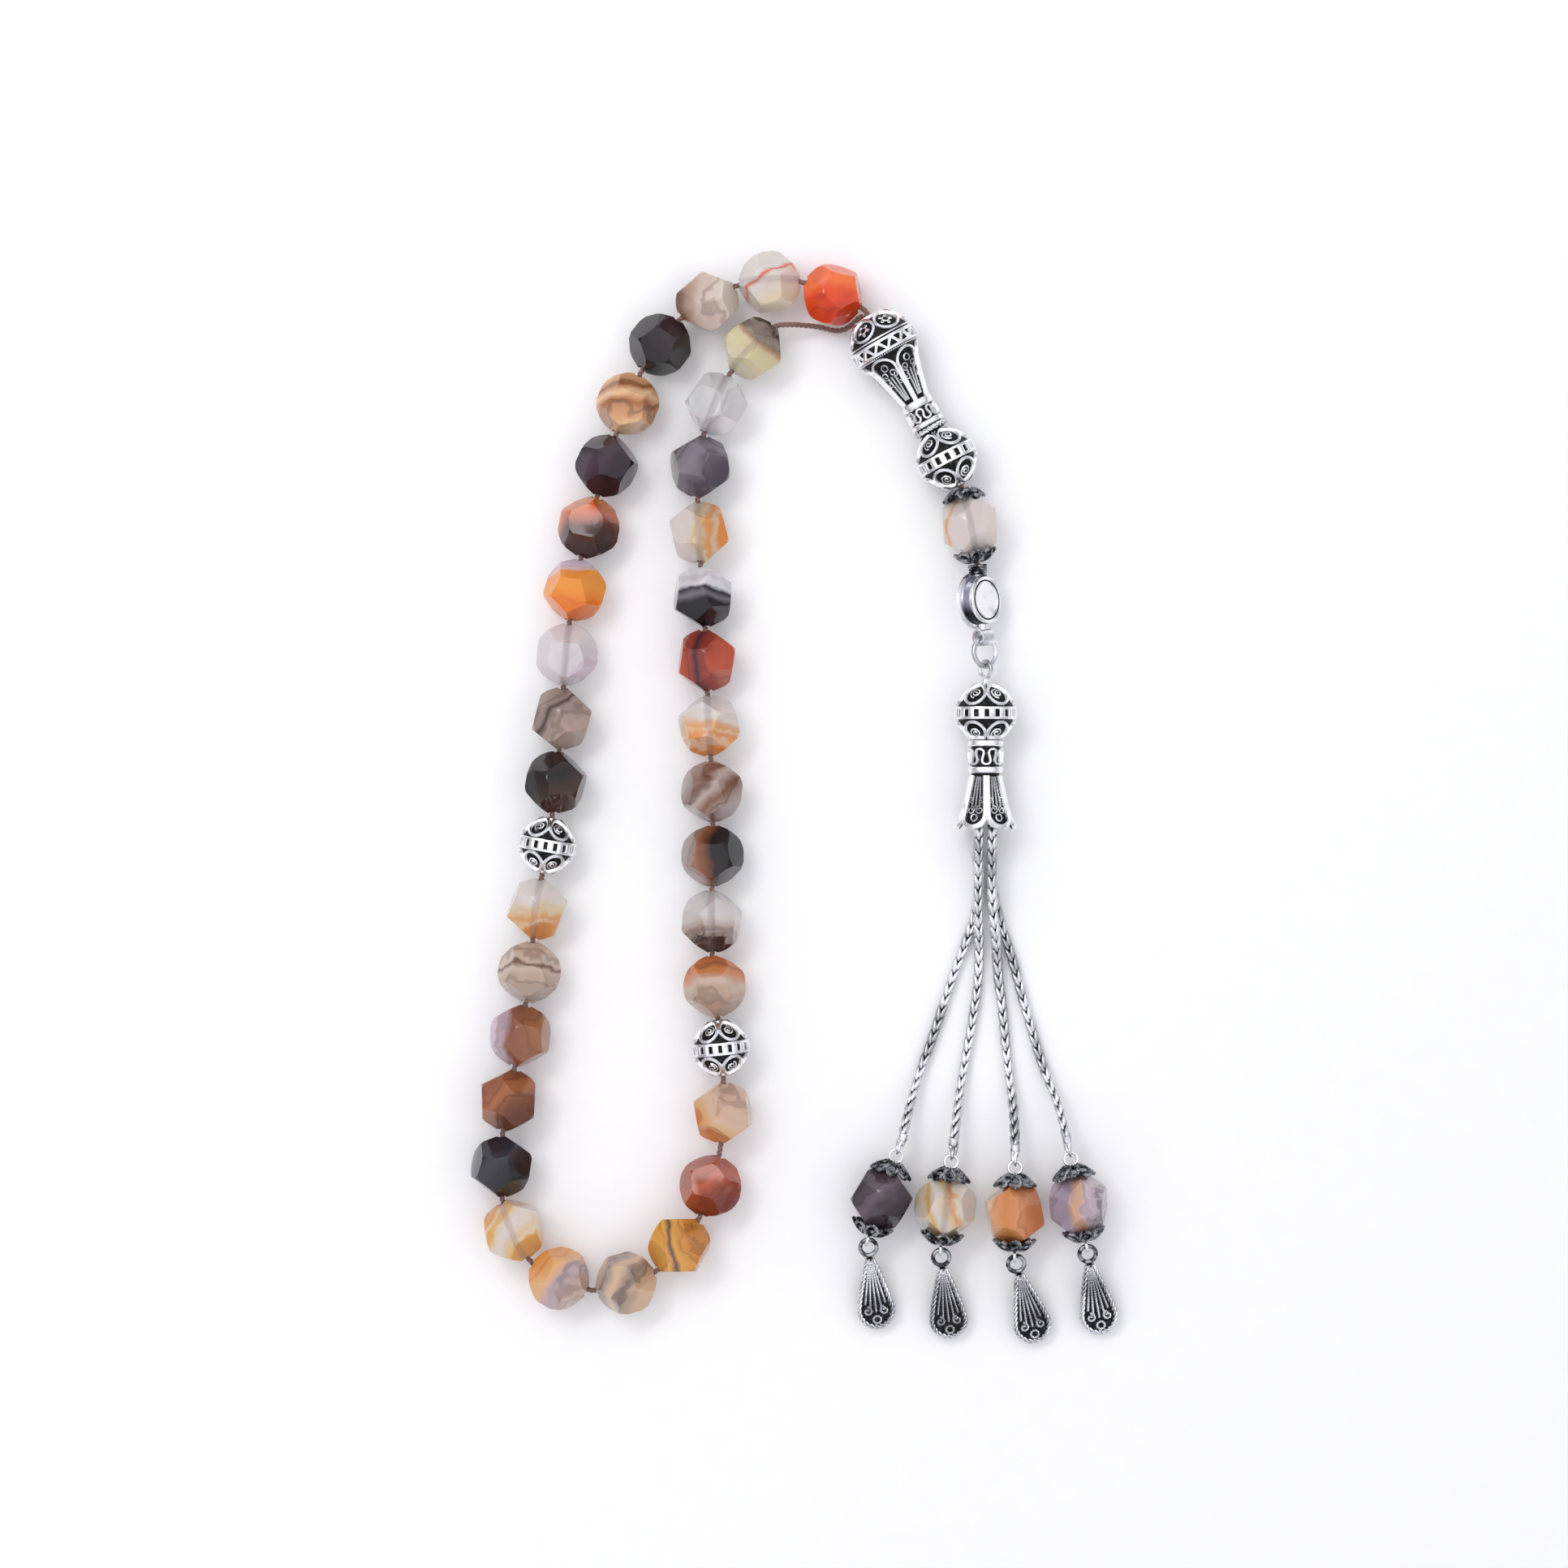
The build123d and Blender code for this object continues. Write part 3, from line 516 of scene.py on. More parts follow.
# Each stone: heading of its colour run seen from above, the colours along it with each one's place in
# hundredths, how far the run is bent, strength of its bands and of its specks, and how clear it is.
STONES = {
    "stone_01": (-90, "10 e2582c 45 ee6a36 60 d84a20 90 b83a18", 0.3, 0.3, 0, 0.1),
    "stone_02": (-60, "20 e6d2c2 45 eedccf 53 c64a2c 60 ead4c4 90 e4c2a4", 0.3, 0.2, 0, 0.3),
    "stone_03": (0, "15 6e422e 38 9c8474 60 b8aaa0 90 c6bab0", 0.3, 0.4, 0, 0.15),
    "stone_04": (30, "10 0c0a0c 50 1a1417 80 2b2226", 0.4, 0.25, 0, 0.05),
    "stone_05": (-90, "10 c49c74 35 8a5a38 50 d0ab84 65 94623e 90 caa27a", 0.35, 0.5, 0, 0.1),
    "stone_06": (-60, "10 2a1f27 50 3b2a35 80 211820", 0.4, 0.3, 0, 0.05),
    "stone_07": (-90, "15 c8702e 45 a8542a 62 4a2c22 90 2e1d1a", 0.3, 0.3, 0, 0.1),
    "stone_08": (-90, "10 b6a8b6 28 cbb8bc 34 e8843a 60 f08a34 90 dd6a20", 0.3, 0.25, 0, 0.15),
    "stone_09": (-40, "10 cbc0ca 50 dcd3d8 90 b8acb6", 0.4, 0.3, 0, 0.3),
    "stone_10": (-40, "10 8c7c72 42 81716a 50 382c2c 60 8e7e76 90 9c8c82", 0.3, 0.4, 0, 0.1),
    "stone_11": (-60, "10 2c1b16 50 120c0d 90 412a20", 0.5, 0.3, 0, 0.05),
    "stone_12": (-90, "10 e4d6cc 50 e0cdbe 68 d99a62 90 d47e3c", 0.25, 0.3, 0, 0.3),
    "stone_13": (-90, "10 a8988a 42 b2a496 48 5e3e2e 54 ae9e90 90 97877a", 0.5, 0.4, 0, 0.1),
    "stone_14": (0, "15 b6a8b6 36 a08c92 48 7a4e3a 90 8c5c3c", 0.3, 0.3, 0, 0.1),
    "stone_15": (-60, "10 784830 50 965e3c 90 5e3a28", 0.4, 0.4, 0, 0.1),
    "stone_16": (-45, "10 18181d 50 32323b 90 121216", 0.4, 0.4, 0, 0.05),
    "stone_17": (-30, "10 de8644 42 e8a468 55 ecdccc 90 e29a5e", 0.4, 0.35, 0, 0.25),
    "stone_18": (-45, "10 d68848 50 dca06c 66 9a929a 90 b09a8c", 0.3, 0.35, 0, 0.15),
    "stone_19": (-20, "10 b8a08a 35 8e8680 50 c4aa8c 68 857b74 90 bda386", 0.35, 0.5, 0, 0.15),
    "stone_20": (10, "10 c8883a 40 da9e50 50 5a4c42 58 d0984c 90 b87c36", 0.45, 0.4, 0.3, 0.15),
    "stone_21": (-70, "10 8c3c26 50 a04c2e 90 6a2c1c", 0.4, 0.3, 0, 0.1),
    "stone_22": (45, "15 d07a36 40 cc9a6c 60 c4a890 90 b8a290", 0.3, 0.4, 0, 0.15),
    "stone_23": (-90, "10 a8623a 40 b4764a 55 b0a090 90 947662", 0.3, 0.4, 0, 0.1),
    "stone_24": (-90, "10 dedad6 50 d2cac4 70 8c7c76 90 3e3230", 0.25, 0.2, 1.0, 0.35),
    "stone_25": (0, "10 8e8683 30 8a7468 45 7c4c32 65 1e1719 90 161214", 0.3, 0.3, 0, 0.1),
    "stone_26": (-50, "10 968a84 35 6e4a3a 50 a29892 68 74503e 90 968a84", 0.5, 0.5, 0, 0.1),
    "stone_27": (-90, "10 cac7c8 45 c4bab2 62 d6905a 90 d67a38", 0.25, 0.3, 0, 0.2),
    "stone_28": (0, "15 9e4430 38 8a3a2c 50 3a232f 66 8e3c2c 90 a64c34", 0.35, 0.3, 0, 0.1),
    "stone_29": (-90, "10 dbdfe5 45 c6cad2 52 1a181c 62 6a666c 72 141214", 0.2, 0.35, 0, 0.15),
    "stone_30": (0, "10 ded4ca 50 dcc8b8 68 dc9458 90 d87c3a", 0.3, 0.3, 0, 0.3),
    "stone_31": (-50, "10 5a545e 50 706a74 90 48424e", 0.4, 0.4, 0, 0.1),
    "stone_32": (-50, "10 dadadc 50 efefef 90 cfd0d4", 0.4, 0.3, 0, 0.45),
    "stone_33": (45, "10 e2caa6 60 dcc298 76 8a7458 82 1c1613", 0.25, 0.25, 0.1, 0.3),
    "head_stone": (0, "10 ddcabf 24 e3d2c8 30 d68a56 36 e0cec4 90 d9c3b6", 0.25, 0.2, 0, 0.25),
    "pendant_stone_1": (-40, "10 352b32 50 5e525a 90 241c22", 0.4, 0.4, 0, 0.05),
    "pendant_stone_2": (20, "10 e6d6ca 40 e2a060 50 e8dccf 70 da8640 90 e4d0be", 0.35, 0.3, 0, 0.3),
    "pendant_stone_3": (0, "10 d2b49c 35 c48a5c 50 b87c42 70 c88a60 90 a4643a", 0.3, 0.3, 0, 0.15),
    "pendant_stone_4": (0, "10 a69ba8 45 8a8090 60 bd9474 75 b4a8b0 90 a49aa6", 0.35, 0.35, 0.5, 0.15),
}


# ---- shapes: every shape is (points, faces) in millimetres -------------------------------------


def sheet(rows, wrap_rows=False, wrap_columns=True):
    """Faces over a grid of points. An open run of closed rings is stopped at both ends."""
    rows = np.asarray(rows, float)
    n, m = rows.shape[:2]
    faces = []
    for i in range(n if wrap_rows else n - 1):
        for j in range(m if wrap_columns else m - 1):
            k, l = (i + 1) % n, (j + 1) % m
            faces.append((i * m + j, i * m + l, k * m + l, k * m + j))
    if wrap_columns and not wrap_rows:
        faces += [tuple(range(m))[::-1], tuple(range((n - 1) * m, n * m))]
    return rows.reshape(-1, 3), faces


def around(count):
    """Turns in radians, evenly right round."""
    return np.arange(count) * 2 * math.pi / count


def swept(points, normals, section, closed=False):
    """A section, (across, up) pairs, carried along a line that has a normal at each point."""
    points, normals = np.asarray(points, float), np.asarray(normals, float)
    if closed:
        ahead = np.roll(points, -1, 0) - np.roll(points, 1, 0)
    else:
        ahead = np.gradient(points, axis=0)
    side = np.cross(normals, ahead)
    side /= np.linalg.norm(side, axis=1)[:, None]
    section = np.asarray(section, float)[None]
    rows = points[:, None] + side[:, None] * section[..., :1] + normals[:, None] * section[..., 1:]
    return sheet(rows, wrap_rows=closed)


def strap(points, normals, width, height, closed=False):
    w, h = width / 2, height
    shape = ((-w, -h), (-w, 0.55 * h), (-0.66 * w, h), (0.66 * w, h), (w, 0.55 * h), (w, -h))
    return swept(points, normals, shape, closed)


def wire(points, normals, radius, closed=False, sides=6):
    turns = around(sides)
    return swept(points, normals, np.c_[np.cos(turns), np.sin(turns)] * radius, closed)


def ring(centre, first, second, radius, wire_radius, steps=32, sides=10):
    """A closed ring of round wire in the plane of two directions."""
    first, second = unit(first), unit(second)
    turns = around(steps)
    spokes = np.outer(np.cos(turns), first) + np.outer(np.sin(turns), second)
    return wire(np.array(centre) + spokes * radius, spokes, wire_radius, True, sides)


def lathed(x, r, steps):
    """Rings of points about X, one for each x and radius."""
    turns = around(steps)
    return np.stack([np.tile(np.c_[x], steps), np.outer(r, np.cos(turns)), np.outer(r, np.sin(turns))], -1)


class Turned:
    """A surface of revolution about X, from (x, radius) points with x rising."""

    def __init__(self, outline):
        self.p = np.array(outline, float)
        self.s = np.r_[0, np.cumsum(np.hypot(*np.diff(self.p, axis=0).T))]
        t = np.gradient(self.p, self.s, axis=0)
        t /= np.linalg.norm(t, axis=1)[:, None]
        self.n = np.c_[-t[:, 1], t[:, 0]]

    def run(self, x):
        """Length along the outline to where it reaches x."""
        return np.interp(x, self.p[:, 0], self.s)

    def radius(self, s):
        return np.interp(s, self.s, self.p[:, 1])

    def at(self, s, turn, lift=0.0):
        s, turn = np.broadcast_arrays(np.asarray(s, float), np.radians(np.asarray(turn, float)))
        nx, nr = (np.interp(s, self.s, self.n[:, k]) for k in (0, 1))
        x = np.interp(s, self.s, self.p[:, 0]) + lift * nx
        r = self.radius(s) + lift * nr
        c, d = np.cos(turn), np.sin(turn)
        return np.stack([x, r * c, r * d], -1), np.stack([nx, nr * c, nr * d], -1)

    def drawn(self, middle, u, v, lift=0.0):
        """Points of a flat drawing laid on the surface: u along the outline, v round it, from a middle."""
        s = middle + np.asarray(u, float)
        return self.at(s, np.degrees(np.asarray(v, float) / self.radius(s)), lift)

    def scroll(self, middle, u, v, lift, radius, closed=False):
        """Thin wire along a drawing."""
        return wire(*self.drawn(middle, u, v, lift), radius, closed, 5)

    def wall(self, thickness=None, bore=None, steps=72):
        """The surface as a closed metal wall; with a bore, solid down to that radius."""
        keep = np.linspace(0, self.s[-1], max(16, int(self.s[-1] * 4)))
        x, r, nx, nr = (np.interp(keep, self.s, column) for column in (*self.p.T, *self.n.T))
        if bore is None:
            back, low = x - thickness * nx, r - thickness * nr
        else:
            back, low = x, np.full(len(keep), bore)
        return sheet(lathed(np.r_[x, back[::-1]], np.r_[r, low[::-1]], steps), wrap_rows=True)

    def hoop(self, x, width, height, lift=0.0, steps=96):
        """A strap right round at x."""
        turns = np.arange(steps) * 360 / steps
        points, normals = self.at(self.run(x), turns, lift)
        return strap(points, normals, width, height, True)


def arc_points(start, middle, end, count):
    """Points on the circle through three (x, radius) points."""
    (ax, ay), (bx, by), (cx, cy) = start, middle, end
    d = 2 * (ax * (by - cy) + bx * (cy - ay) + cx * (ay - by))
    a, b, c = ax * ax + ay * ay, bx * bx + by * by, cx * cx + cy * cy
    ox = (a * (by - cy) + b * (cy - ay) + c * (ay - by)) / d
    oy = (a * (cx - bx) + b * (ax - cx) + c * (bx - ax)) / d
    angles = np.unwrap([math.atan2(y - oy, x - ox) for x, y in (start, middle, end)])
    turns = np.linspace(angles[0], angles[2], count)
    radius = math.hypot(ax - ox, ay - oy)
    return [(ox + radius * math.cos(t), oy + radius * math.sin(t)) for t in turns]


def globe(radius, hole, end_hole=None):
    """The outline of a ball with its two openings."""
    first = math.asin(hole / radius)
    last = math.pi - math.asin((end_hole or hole) / radius)
    return Turned([(-radius * math.cos(t), radius * math.sin(t)) for t in np.linspace(first, last, 60)])


# ---- growing shapes with Geometry Nodes --------------------------------------------------------


def grower(name, sizes, build):
    """A geometry tree with named inputs; build(g, inputs) returns the geometry before its material."""
    tree = bpy.data.node_groups.new(name, "GeometryNodeTree")
    tree.interface.new_socket("Geometry", in_out="INPUT", socket_type="NodeSocketGeometry")
    for label, kind in sizes.items():
        tree.interface.new_socket(label, in_out="INPUT", socket_type="NodeSocket" + kind)
    tree.interface.new_socket("Material", in_out="INPUT", socket_type="NodeSocketMaterial")
    tree.interface.new_socket("Geometry", in_out="OUTPUT", socket_type="NodeSocketGeometry")
    g = Graph(tree)
    given = g.node("NodeGroupInput", {}, {}).outputs
    inputs = {socket.name: socket for socket in given if socket.name}
    grown = g.out("GeometryNodeRealizeInstances", 0, {}, {0: build(g, inputs)})
    named = {"Geometry": grown, "Material": inputs["Material"]}
    g.node("NodeGroupOutput", {}, {0: g.out("GeometryNodeSetMaterial", 0, {}, named)})
    return tree


def grow_round(g, given):
    """Copies of a shape set evenly round X."""
    line = g.out("GeometryNodeMeshLine", 0, {}, {"Count": given["Count"], "Offset": (0.0, 0.0, 0.0)})
    step = Value(g, g.out("GeometryNodeInputIndex")) * (2 * math.pi) / Value(g, given["Count"])
    turn = g.out("ShaderNodeCombineXYZ", 0, {}, {"X": step})
    return g.copies(line, given["Geometry"], Rotation=turn)


def stepped(g, given):
    """The line that came in, with a point at each step."""
    named = {"Curve": given["Geometry"], "Length": given["Step"]}
    return g.out("GeometryNodeResampleCurve", 0, {"mode": "LENGTH"}, named)


def grow_twist(g, given):
    """Round strands laid side by side and twisted along a line."""
    run = g.value("GeometryNodeSplineParameter", {}, {}, "Length")
    tilt = run * (2 * math.pi) / Value(g, given["Pitch"])
    line = g.out("GeometryNodeSetCurveTilt", 0, {}, {"Curve": stepped(g, given), "Tilt": tilt})
    named = {"Vertices": given["Strands"], "Radius": given["Spread"]}
    places = g.out("GeometryNodeMeshCircle", 0, {}, named)
    named = {"Resolution": 7, "Radius": given["Thickness"]}
    strand = g.out("GeometryNodeCurvePrimitiveCircle", 0, {}, named)
    profile = g.out("GeometryNodeRealizeInstances", 0, {}, {0: g.copies(places, strand)})
    named = {"Curve": line, "Profile Curve": profile, "Fill Caps": True}
    return g.out("GeometryNodeCurveToMesh", 0, {}, named)


def grow_beads(g, given):
    """Tiny balls set close along a line."""
    ball = g.out("GeometryNodeMeshIcoSphere", 0, {}, {"Radius": given["Thickness"], "Subdivisions": 1})
    return g.copies(stepped(g, given), ball)


LOBE_LEAN = math.radians(17)


def grow_foxtail(g, given):
    """Four rows of long slanting lobes; neighbouring rows lean against each other in a herringbone."""
    line = stepped(g, given)
    thick, step = Value(g, given["Thickness"]), Value(g, given["Step"])
    stretch = g.out("ShaderNodeCombineXYZ", 0, {}, {"X": step * 1.35, "Y": thick * 1.15, "Z": thick})
    lobe = g.out("GeometryNodeMeshIcoSphere", 0, {}, {"Radius": 1.0, "Subdivisions": 2})
    lobe = g.out("GeometryNodeTransform", 0, {}, {"Geometry": lobe, "Scale": stretch})
    tangent = g.out("GeometryNodeInputTangent")
    facing = g.out("FunctionNodeAlignRotationToVector", 0, {"axis": "X"}, {"Vector": tangent})
    half = Value(g, g.out("GeometryNodeInputIndex")) * math.pi
    turn = g.out("FunctionNodeAxisAngleToRotation", 0, {}, {"Axis": (1.0, 0.0, 0.0), "Angle": half})
    named = {"Rotation": facing, "Rotate By": turn}
    facing = g.out("FunctionNodeRotateRotation", 0, {"rotation_space": "LOCAL"}, named)
    both = g.node("GeometryNodeJoinGeometry", {}, {})
    for side in (-1, 1):
        away = g.out("ShaderNodeCombineXYZ", 0, {}, {"X": step * (side * 0.25), "Z": given["Spread"]})
        lean = {"Geometry": lobe, "Translation": away, "Rotation": (0.0, 0.0, side * LOBE_LEAN)}
        row = g.out("GeometryNodeTransform", 0, {}, lean)
        named = {"Geometry": row, "Rotation": (side * math.pi / 4, 0.0, 0.0)}
        row = g.out("GeometryNodeTransform", 0, {}, named)
        g.tree.links.new(g.copies(line, row, Rotation=facing), both.inputs[0])
    return both.outputs[0]


LINE_SIZES = {"Step": "Float", "Thickness": "Float"}
STRAND_SIZES = {**LINE_SIZES, "Spread": "Float", "Strands": "Int", "Pitch": "Float"}
ROUND = grower("set round an axis", {"Count": "Int"}, grow_round)
TWIST = grower("twisted strands", STRAND_SIZES, grow_twist)
BEADS = grower("row of tiny balls", LINE_SIZES, grow_beads)
FOXTAIL = grower("foxtail links", {**LINE_SIZES, "Spread": "Float"}, grow_foxtail)


def mesh_from(shape, name="shape"):
    mesh = bpy.data.meshes.new(name)
    mesh.from_pydata(shape[0].tolist(), [], shape[1])
    return mesh


def shape_from(mesh):
    co = np.empty(len(mesh.vertices) * 3)
    mesh.vertices.foreach_get("co", co)
    return co.reshape(-1, 3), [tuple(face.vertices) for face in mesh.polygons]


def grown(data, tree, **sizes):
    """What a tree grows from a mesh or a curve, as a shape."""
    thing = bpy.data.objects.new("seed", data)
    bpy.context.scene.collection.objects.link(thing)
    modifier = thing.modifiers.new("grow", "NODES")
    modifier.node_group = tree
    for item in tree.interface.items_tree:
        if item.in_out == "INPUT" and item.name in sizes:
            modifier[item.identifier] = sizes[item.name]
        if item.in_out == "INPUT" and item.name == "Material":
            modifier[item.identifier] = SILVER
    graph = bpy.context.evaluated_depsgraph_get()
    mesh = bpy.data.meshes.new_from_object(thing.evaluated_get(graph))
    shape = shape_from(mesh)
    bpy.data.meshes.remove(mesh)
    bpy.data.objects.remove(thing)
    return shape


def round_x(shape, count):
    return grown(mesh_from(shape), ROUND, Count=count)


def line_data(points, closed=False):
    """A plain line through drawn points."""
    data = bpy.data.curves.new("line", "CURVE")
    data.dimensions = "3D"
    spline = data.splines.new("POLY")
    spline.points.add(len(points) - 1)
    for point, at in zip(spline.points, points):
        point.co = (*at, 1)
    spline.use_cyclic_u = closed
    return data


def row_of_balls(points, radius, step, closed=False):
    return grown(line_data(points, closed), BEADS, Step=step, Thickness=radius)


def rope(points, radius, pitch, closed=False):
    """Twisted wire of three strands; pitch is from one turn of the rope's edge to the next."""
    sizes = {"Thickness": radius * 0.56, "Spread": radius * 0.52, "Step": pitch * 0.42}
    return grown(line_data(points, closed), TWIST, Strands=3, Pitch=pitch * 3, **sizes)


# ---- pieces ------------------------------------------------------------------------------------


class Piece:
    """One piece of the object: shapes gathered under their finishes."""

    def __init__(self, name):
        self.name, self.shapes, self.finishes = name, [], []

    def add(self, finish, *shapes):
        if finish not in self.finishes:
            self.finishes.append(finish)
        self.shapes += [(shape, self.finishes.index(finish)) for shape in shapes]
        return self

    def placed(self, place, body, replaced, slot, smooth=40):
        points, faces, finish, count = [], [], [], 0
        for (p, f), index in self.shapes:
            points.append(p)
            faces += [tuple(i + count for i in face) for face in f]
            finish += [index] * len(f)
            count += len(p)
        points = np.concatenate(points)
        mesh = mesh_from((points if place is None else place.at(points), faces), self.name)
        mesh.polygons.foreach_set("material_index", finish)
        work = bmesh.new()
        work.from_mesh(mesh)
        bmesh.ops.recalc_face_normals(work, faces=work.faces)
        work.to_mesh(mesh)
        work.free()
        mesh.shade_smooth()
        mesh.set_sharp_from_angle(angle=math.radians(smooth))
        for material in self.finishes:
            mesh.materials.append(material)
        made = bpy.data.objects.new(self.name, mesh)
        bpy.context.scene.collection.objects.link(made)
        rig.ride(made, body)
        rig.replaces(made, *replaced)
        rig.slot(made, slot)
        return made


def curl(turns, outer, inner=0.12, start=0.0, mirror=1):
    """A flat spiral from its outer end inwards, as (u, v)."""
    t = np.linspace(0, 1, int(14 * turns) + 6)
    r = outer + (inner - outer) * t
    a = np.radians(start) + t * turns * 2 * math.pi
    return r * np.cos(a), mirror * r * np.sin(a)


def circle(radius, count):
    """A flat circle, as (u, v)."""
    turns = around(count)
    return radius * np.cos(turns), radius * np.sin(turns)


def eye_unit(surface, middle, half_run, half_turn, rim_width, spiral=True):
    """An egg-shaped eye's raised rim, round a spiral of wire or round one ring with five small ones."""
    t = around(28)
    points, normals = surface.at(middle + half_run * np.cos(t), half_turn * np.sin(t))
    shapes = [strap(points, normals, rim_width, STRAP_HEIGHT, True)]
    if spiral:
        u, v = curl(1.8, (half_run - rim_width) * 0.62)
        shapes.append(surface.scroll(middle, u, v, -0.18, 0.13))
    else:
        shapes.append(surface.scroll(middle, *circle(0.55, 12), -0.18, 0.11, True))
        u, v = circle(0.2, 12)
        for c in around(5):
            small = u + 0.9 * math.cos(c), v + 0.9 * math.sin(c)
            shapes.append(surface.scroll(middle, *small, -0.2, 0.09, True))
    return joined(shapes)


def onto(place, shape):
    """A shape in a place's own axes, as a shape in the frame's, both in millimetres."""
    return place.at(shape[0]) / MM, shape[1]


def joined(shapes):
    points, faces, count = [], [], 0
    for p, f in shapes:
        points.append(p)
        faces += [tuple(i + count for i in face) for face in f]
        count += len(p)
    return np.concatenate(points), faces


BAND_EDGE = 0.74
BAND_HOLES = 18
STRAP_HEIGHT = 0.28
CORE_DEPTH = 0.62
BALL_BORE = 0.75
DIVIDER_RADIUS, BALL_RADIUS = 4.6, 5.0


def ball_shapes(radius, bore, end_bore=None, crowns=(-1, 1)):
    """A pierced ball's bright work and its dark core."""
    skin = globe(radius - STRAP_HEIGHT, bore, end_bore)
    core = globe(radius - CORE_DEPTH, bore, end_bore)
    middle, widest = skin.run(0), skin.p[:, 1].max()
    bright = [skin.hoop(side * BAND_EDGE, 0.46, STRAP_HEIGHT, 0.06) for side in (-1, 1)]
    bar, normals = skin.at(middle + np.linspace(-BAND_EDGE, BAND_EDGE, 5), 0, 0.06)
    bright.append(round_x(strap(bar, normals, 0.98, STRAP_HEIGHT), BAND_HOLES))
    lean = math.radians(41)
    for side in (-1, 1):
        at = middle + side * lean * radius
        bright.append(round_x(eye_unit(skin, at, 0.43 * radius, 26.5, 0.5), 6))
        if side in crowns:
            points, _ = skin.at(middle + side * math.radians(72) * widest, np.arange(36) * 10.0, 0.1)
            bright.append(row_of_balls(points, 0.22, 0.62, True))
            bright.append(skin.hoop(side * widest * math.sin(math.radians(76)), 0.4, 0.2))
    return bright, [core.wall(bore=bore)]


def wave_unit(surface, x, half_run, periods, width, steps=18):
    """One period of the scroll band: a line that doubles back in round loops."""
    t = np.linspace(0, 2 * math.pi, steps + 1)
    turn = 360 / periods * (t / (2 * math.pi) + 0.17 * np.sin(2 * t))
    points, normals = surface.at(surface.run(x) + half_run * np.cos(t), turn)
    return strap(points, normals, width, 0.3)


def tongue_unit(surface, foot, tip, half_turn, width):
    """A long petal's rim from foot to a round tip and back, on either side of turn 0."""
    way = 1 if tip > foot else -1
    s_foot, s_tip = surface.run(foot), surface.run(tip)
    arch = math.radians(half_turn) * surface.radius(s_tip) * 0.97
    t = np.linspace(0, math.pi, 15)
    s = np.r_[np.linspace(s_foot, s_tip - way * arch, 12)[:-1], s_tip - way * arch * (1 - np.sin(t))]
    s = np.r_[s, np.linspace(s_tip - way * arch, s_foot, 12)[1:]]
    edge = np.r_[np.full(11, 1.0), np.cos(t), np.full(11, -1.0)]
    return strap(*surface.at(s, half_turn * edge), width, 0.3)


def filigree_unit(surface, foot, tip, gap):
    """Three thin ropes down a petal, with scrolls and a ring near its tip."""
    way = 1 if tip > foot else -1
    s_foot, s_tip = surface.run(foot), surface.run(tip)
    stop = s_tip - way * 3.0
    shapes = []
    for k in (-1, 0, 1):
        s = np.linspace(s_foot, stop, 14)
        points, _ = surface.drawn(s_foot, s - s_foot, np.linspace(0.45, 1, 14) * (k * gap), -0.28)
        shapes.append(rope(points, 0.15, 0.55))
    for side in (-1, 1):
        u, v = curl(1.3, 0.72, 0.2, 180 if way > 0 else 0, side)
        shapes.append(surface.scroll(stop + way * 0.5, u, v + side * 0.78, -0.24, 0.11))
        u, v = curl(1.0, 0.5, 0.15, 0 if way > 0 else 180, side)
        shapes.append(surface.scroll(stop - way * 1.2, u, v + side * 1.0, -0.24, 0.1))
    shapes.append(surface.scroll(stop + way * 1.75, *circle(0.55, 14), -0.24, 0.13, True))
    return joined(shapes)


def make_ball(name, radius):
    bright, dark = ball_shapes(radius, BALL_BORE)
    piece = Piece(name + "_silver").add(SILVER, *bright).add(BLACKENED, *dark)
    piece.placed(joint_place(name + "_spin"), name, [name], "silver")


def make_imame():
    """Dome of six eyes, a band of triangles, six tongue petals, and a scroll collar."""
    outline = arc_points((0.05, 1.9), (1.35, 4.15), (4.4, 5.5), 26) + [(5.4, 5.44)]
    outline += arc_points((6.3, 5.35), (10.8, 3.78), (15.3, 2.6), 24) + [(18, 2.68), (20.75, 2.8)]
    body = Turned([(x, r - STRAP_HEIGHT) for x, r in outline])
    core = Turned([(x, r - CORE_DEPTH) for x, r in outline])
    hoops = ((0.25, 0.5, 0.28), (3.95, 0.24, 0.26), (4.5, 0.5, 0.28), (6.2, 0.46, 0.28))
    bright = [body.hoop(*sizes) for sizes in hoops]
    bright.append(round_x(eye_unit(body, body.run(1.75) - 0.1, 1.95, 26.5, 0.46, False), 6))
    points, normals = body.at(body.run([4.6, 6.1, 4.6]), np.array([0, 180, 360]) / 14)
    bright.append(round_x(strap(points, normals, 0.62, 0.27), 14))
    points, _ = body.at(body.run(6.62), np.arange(60) * 6.0, 0.05)
    bright.append(row_of_balls(points, 0.17, 0.4, True))
    bright.append(round_x(tongue_unit(body, 15.2, 7.05, 26.5, 0.5), 6))
    faint = round_x(filigree_unit(body, 14.6, 7.5, 0.72), 6)
    bright += [body.hoop(15.85, 1.2, 0.3), body.hoop(19.2, 0.8, 0.3)]
    bright.append(round_x(wave_unit(body, 17.65, 0.92, 9, 0.38), 9))
    points, _ = body.at(body.run(20.2), np.arange(48) * 7.5, 0.02)
    bright.append(rope(points, 0.42, 0.8, True))
    piece = Piece("imame_silver").add(SILVER, *bright).add(BLACKENED, core.wall(0.5)).add(WORN, faint)
    piece.placed(joint_place("imame_spin"), "imame", ["imame"], "silver")


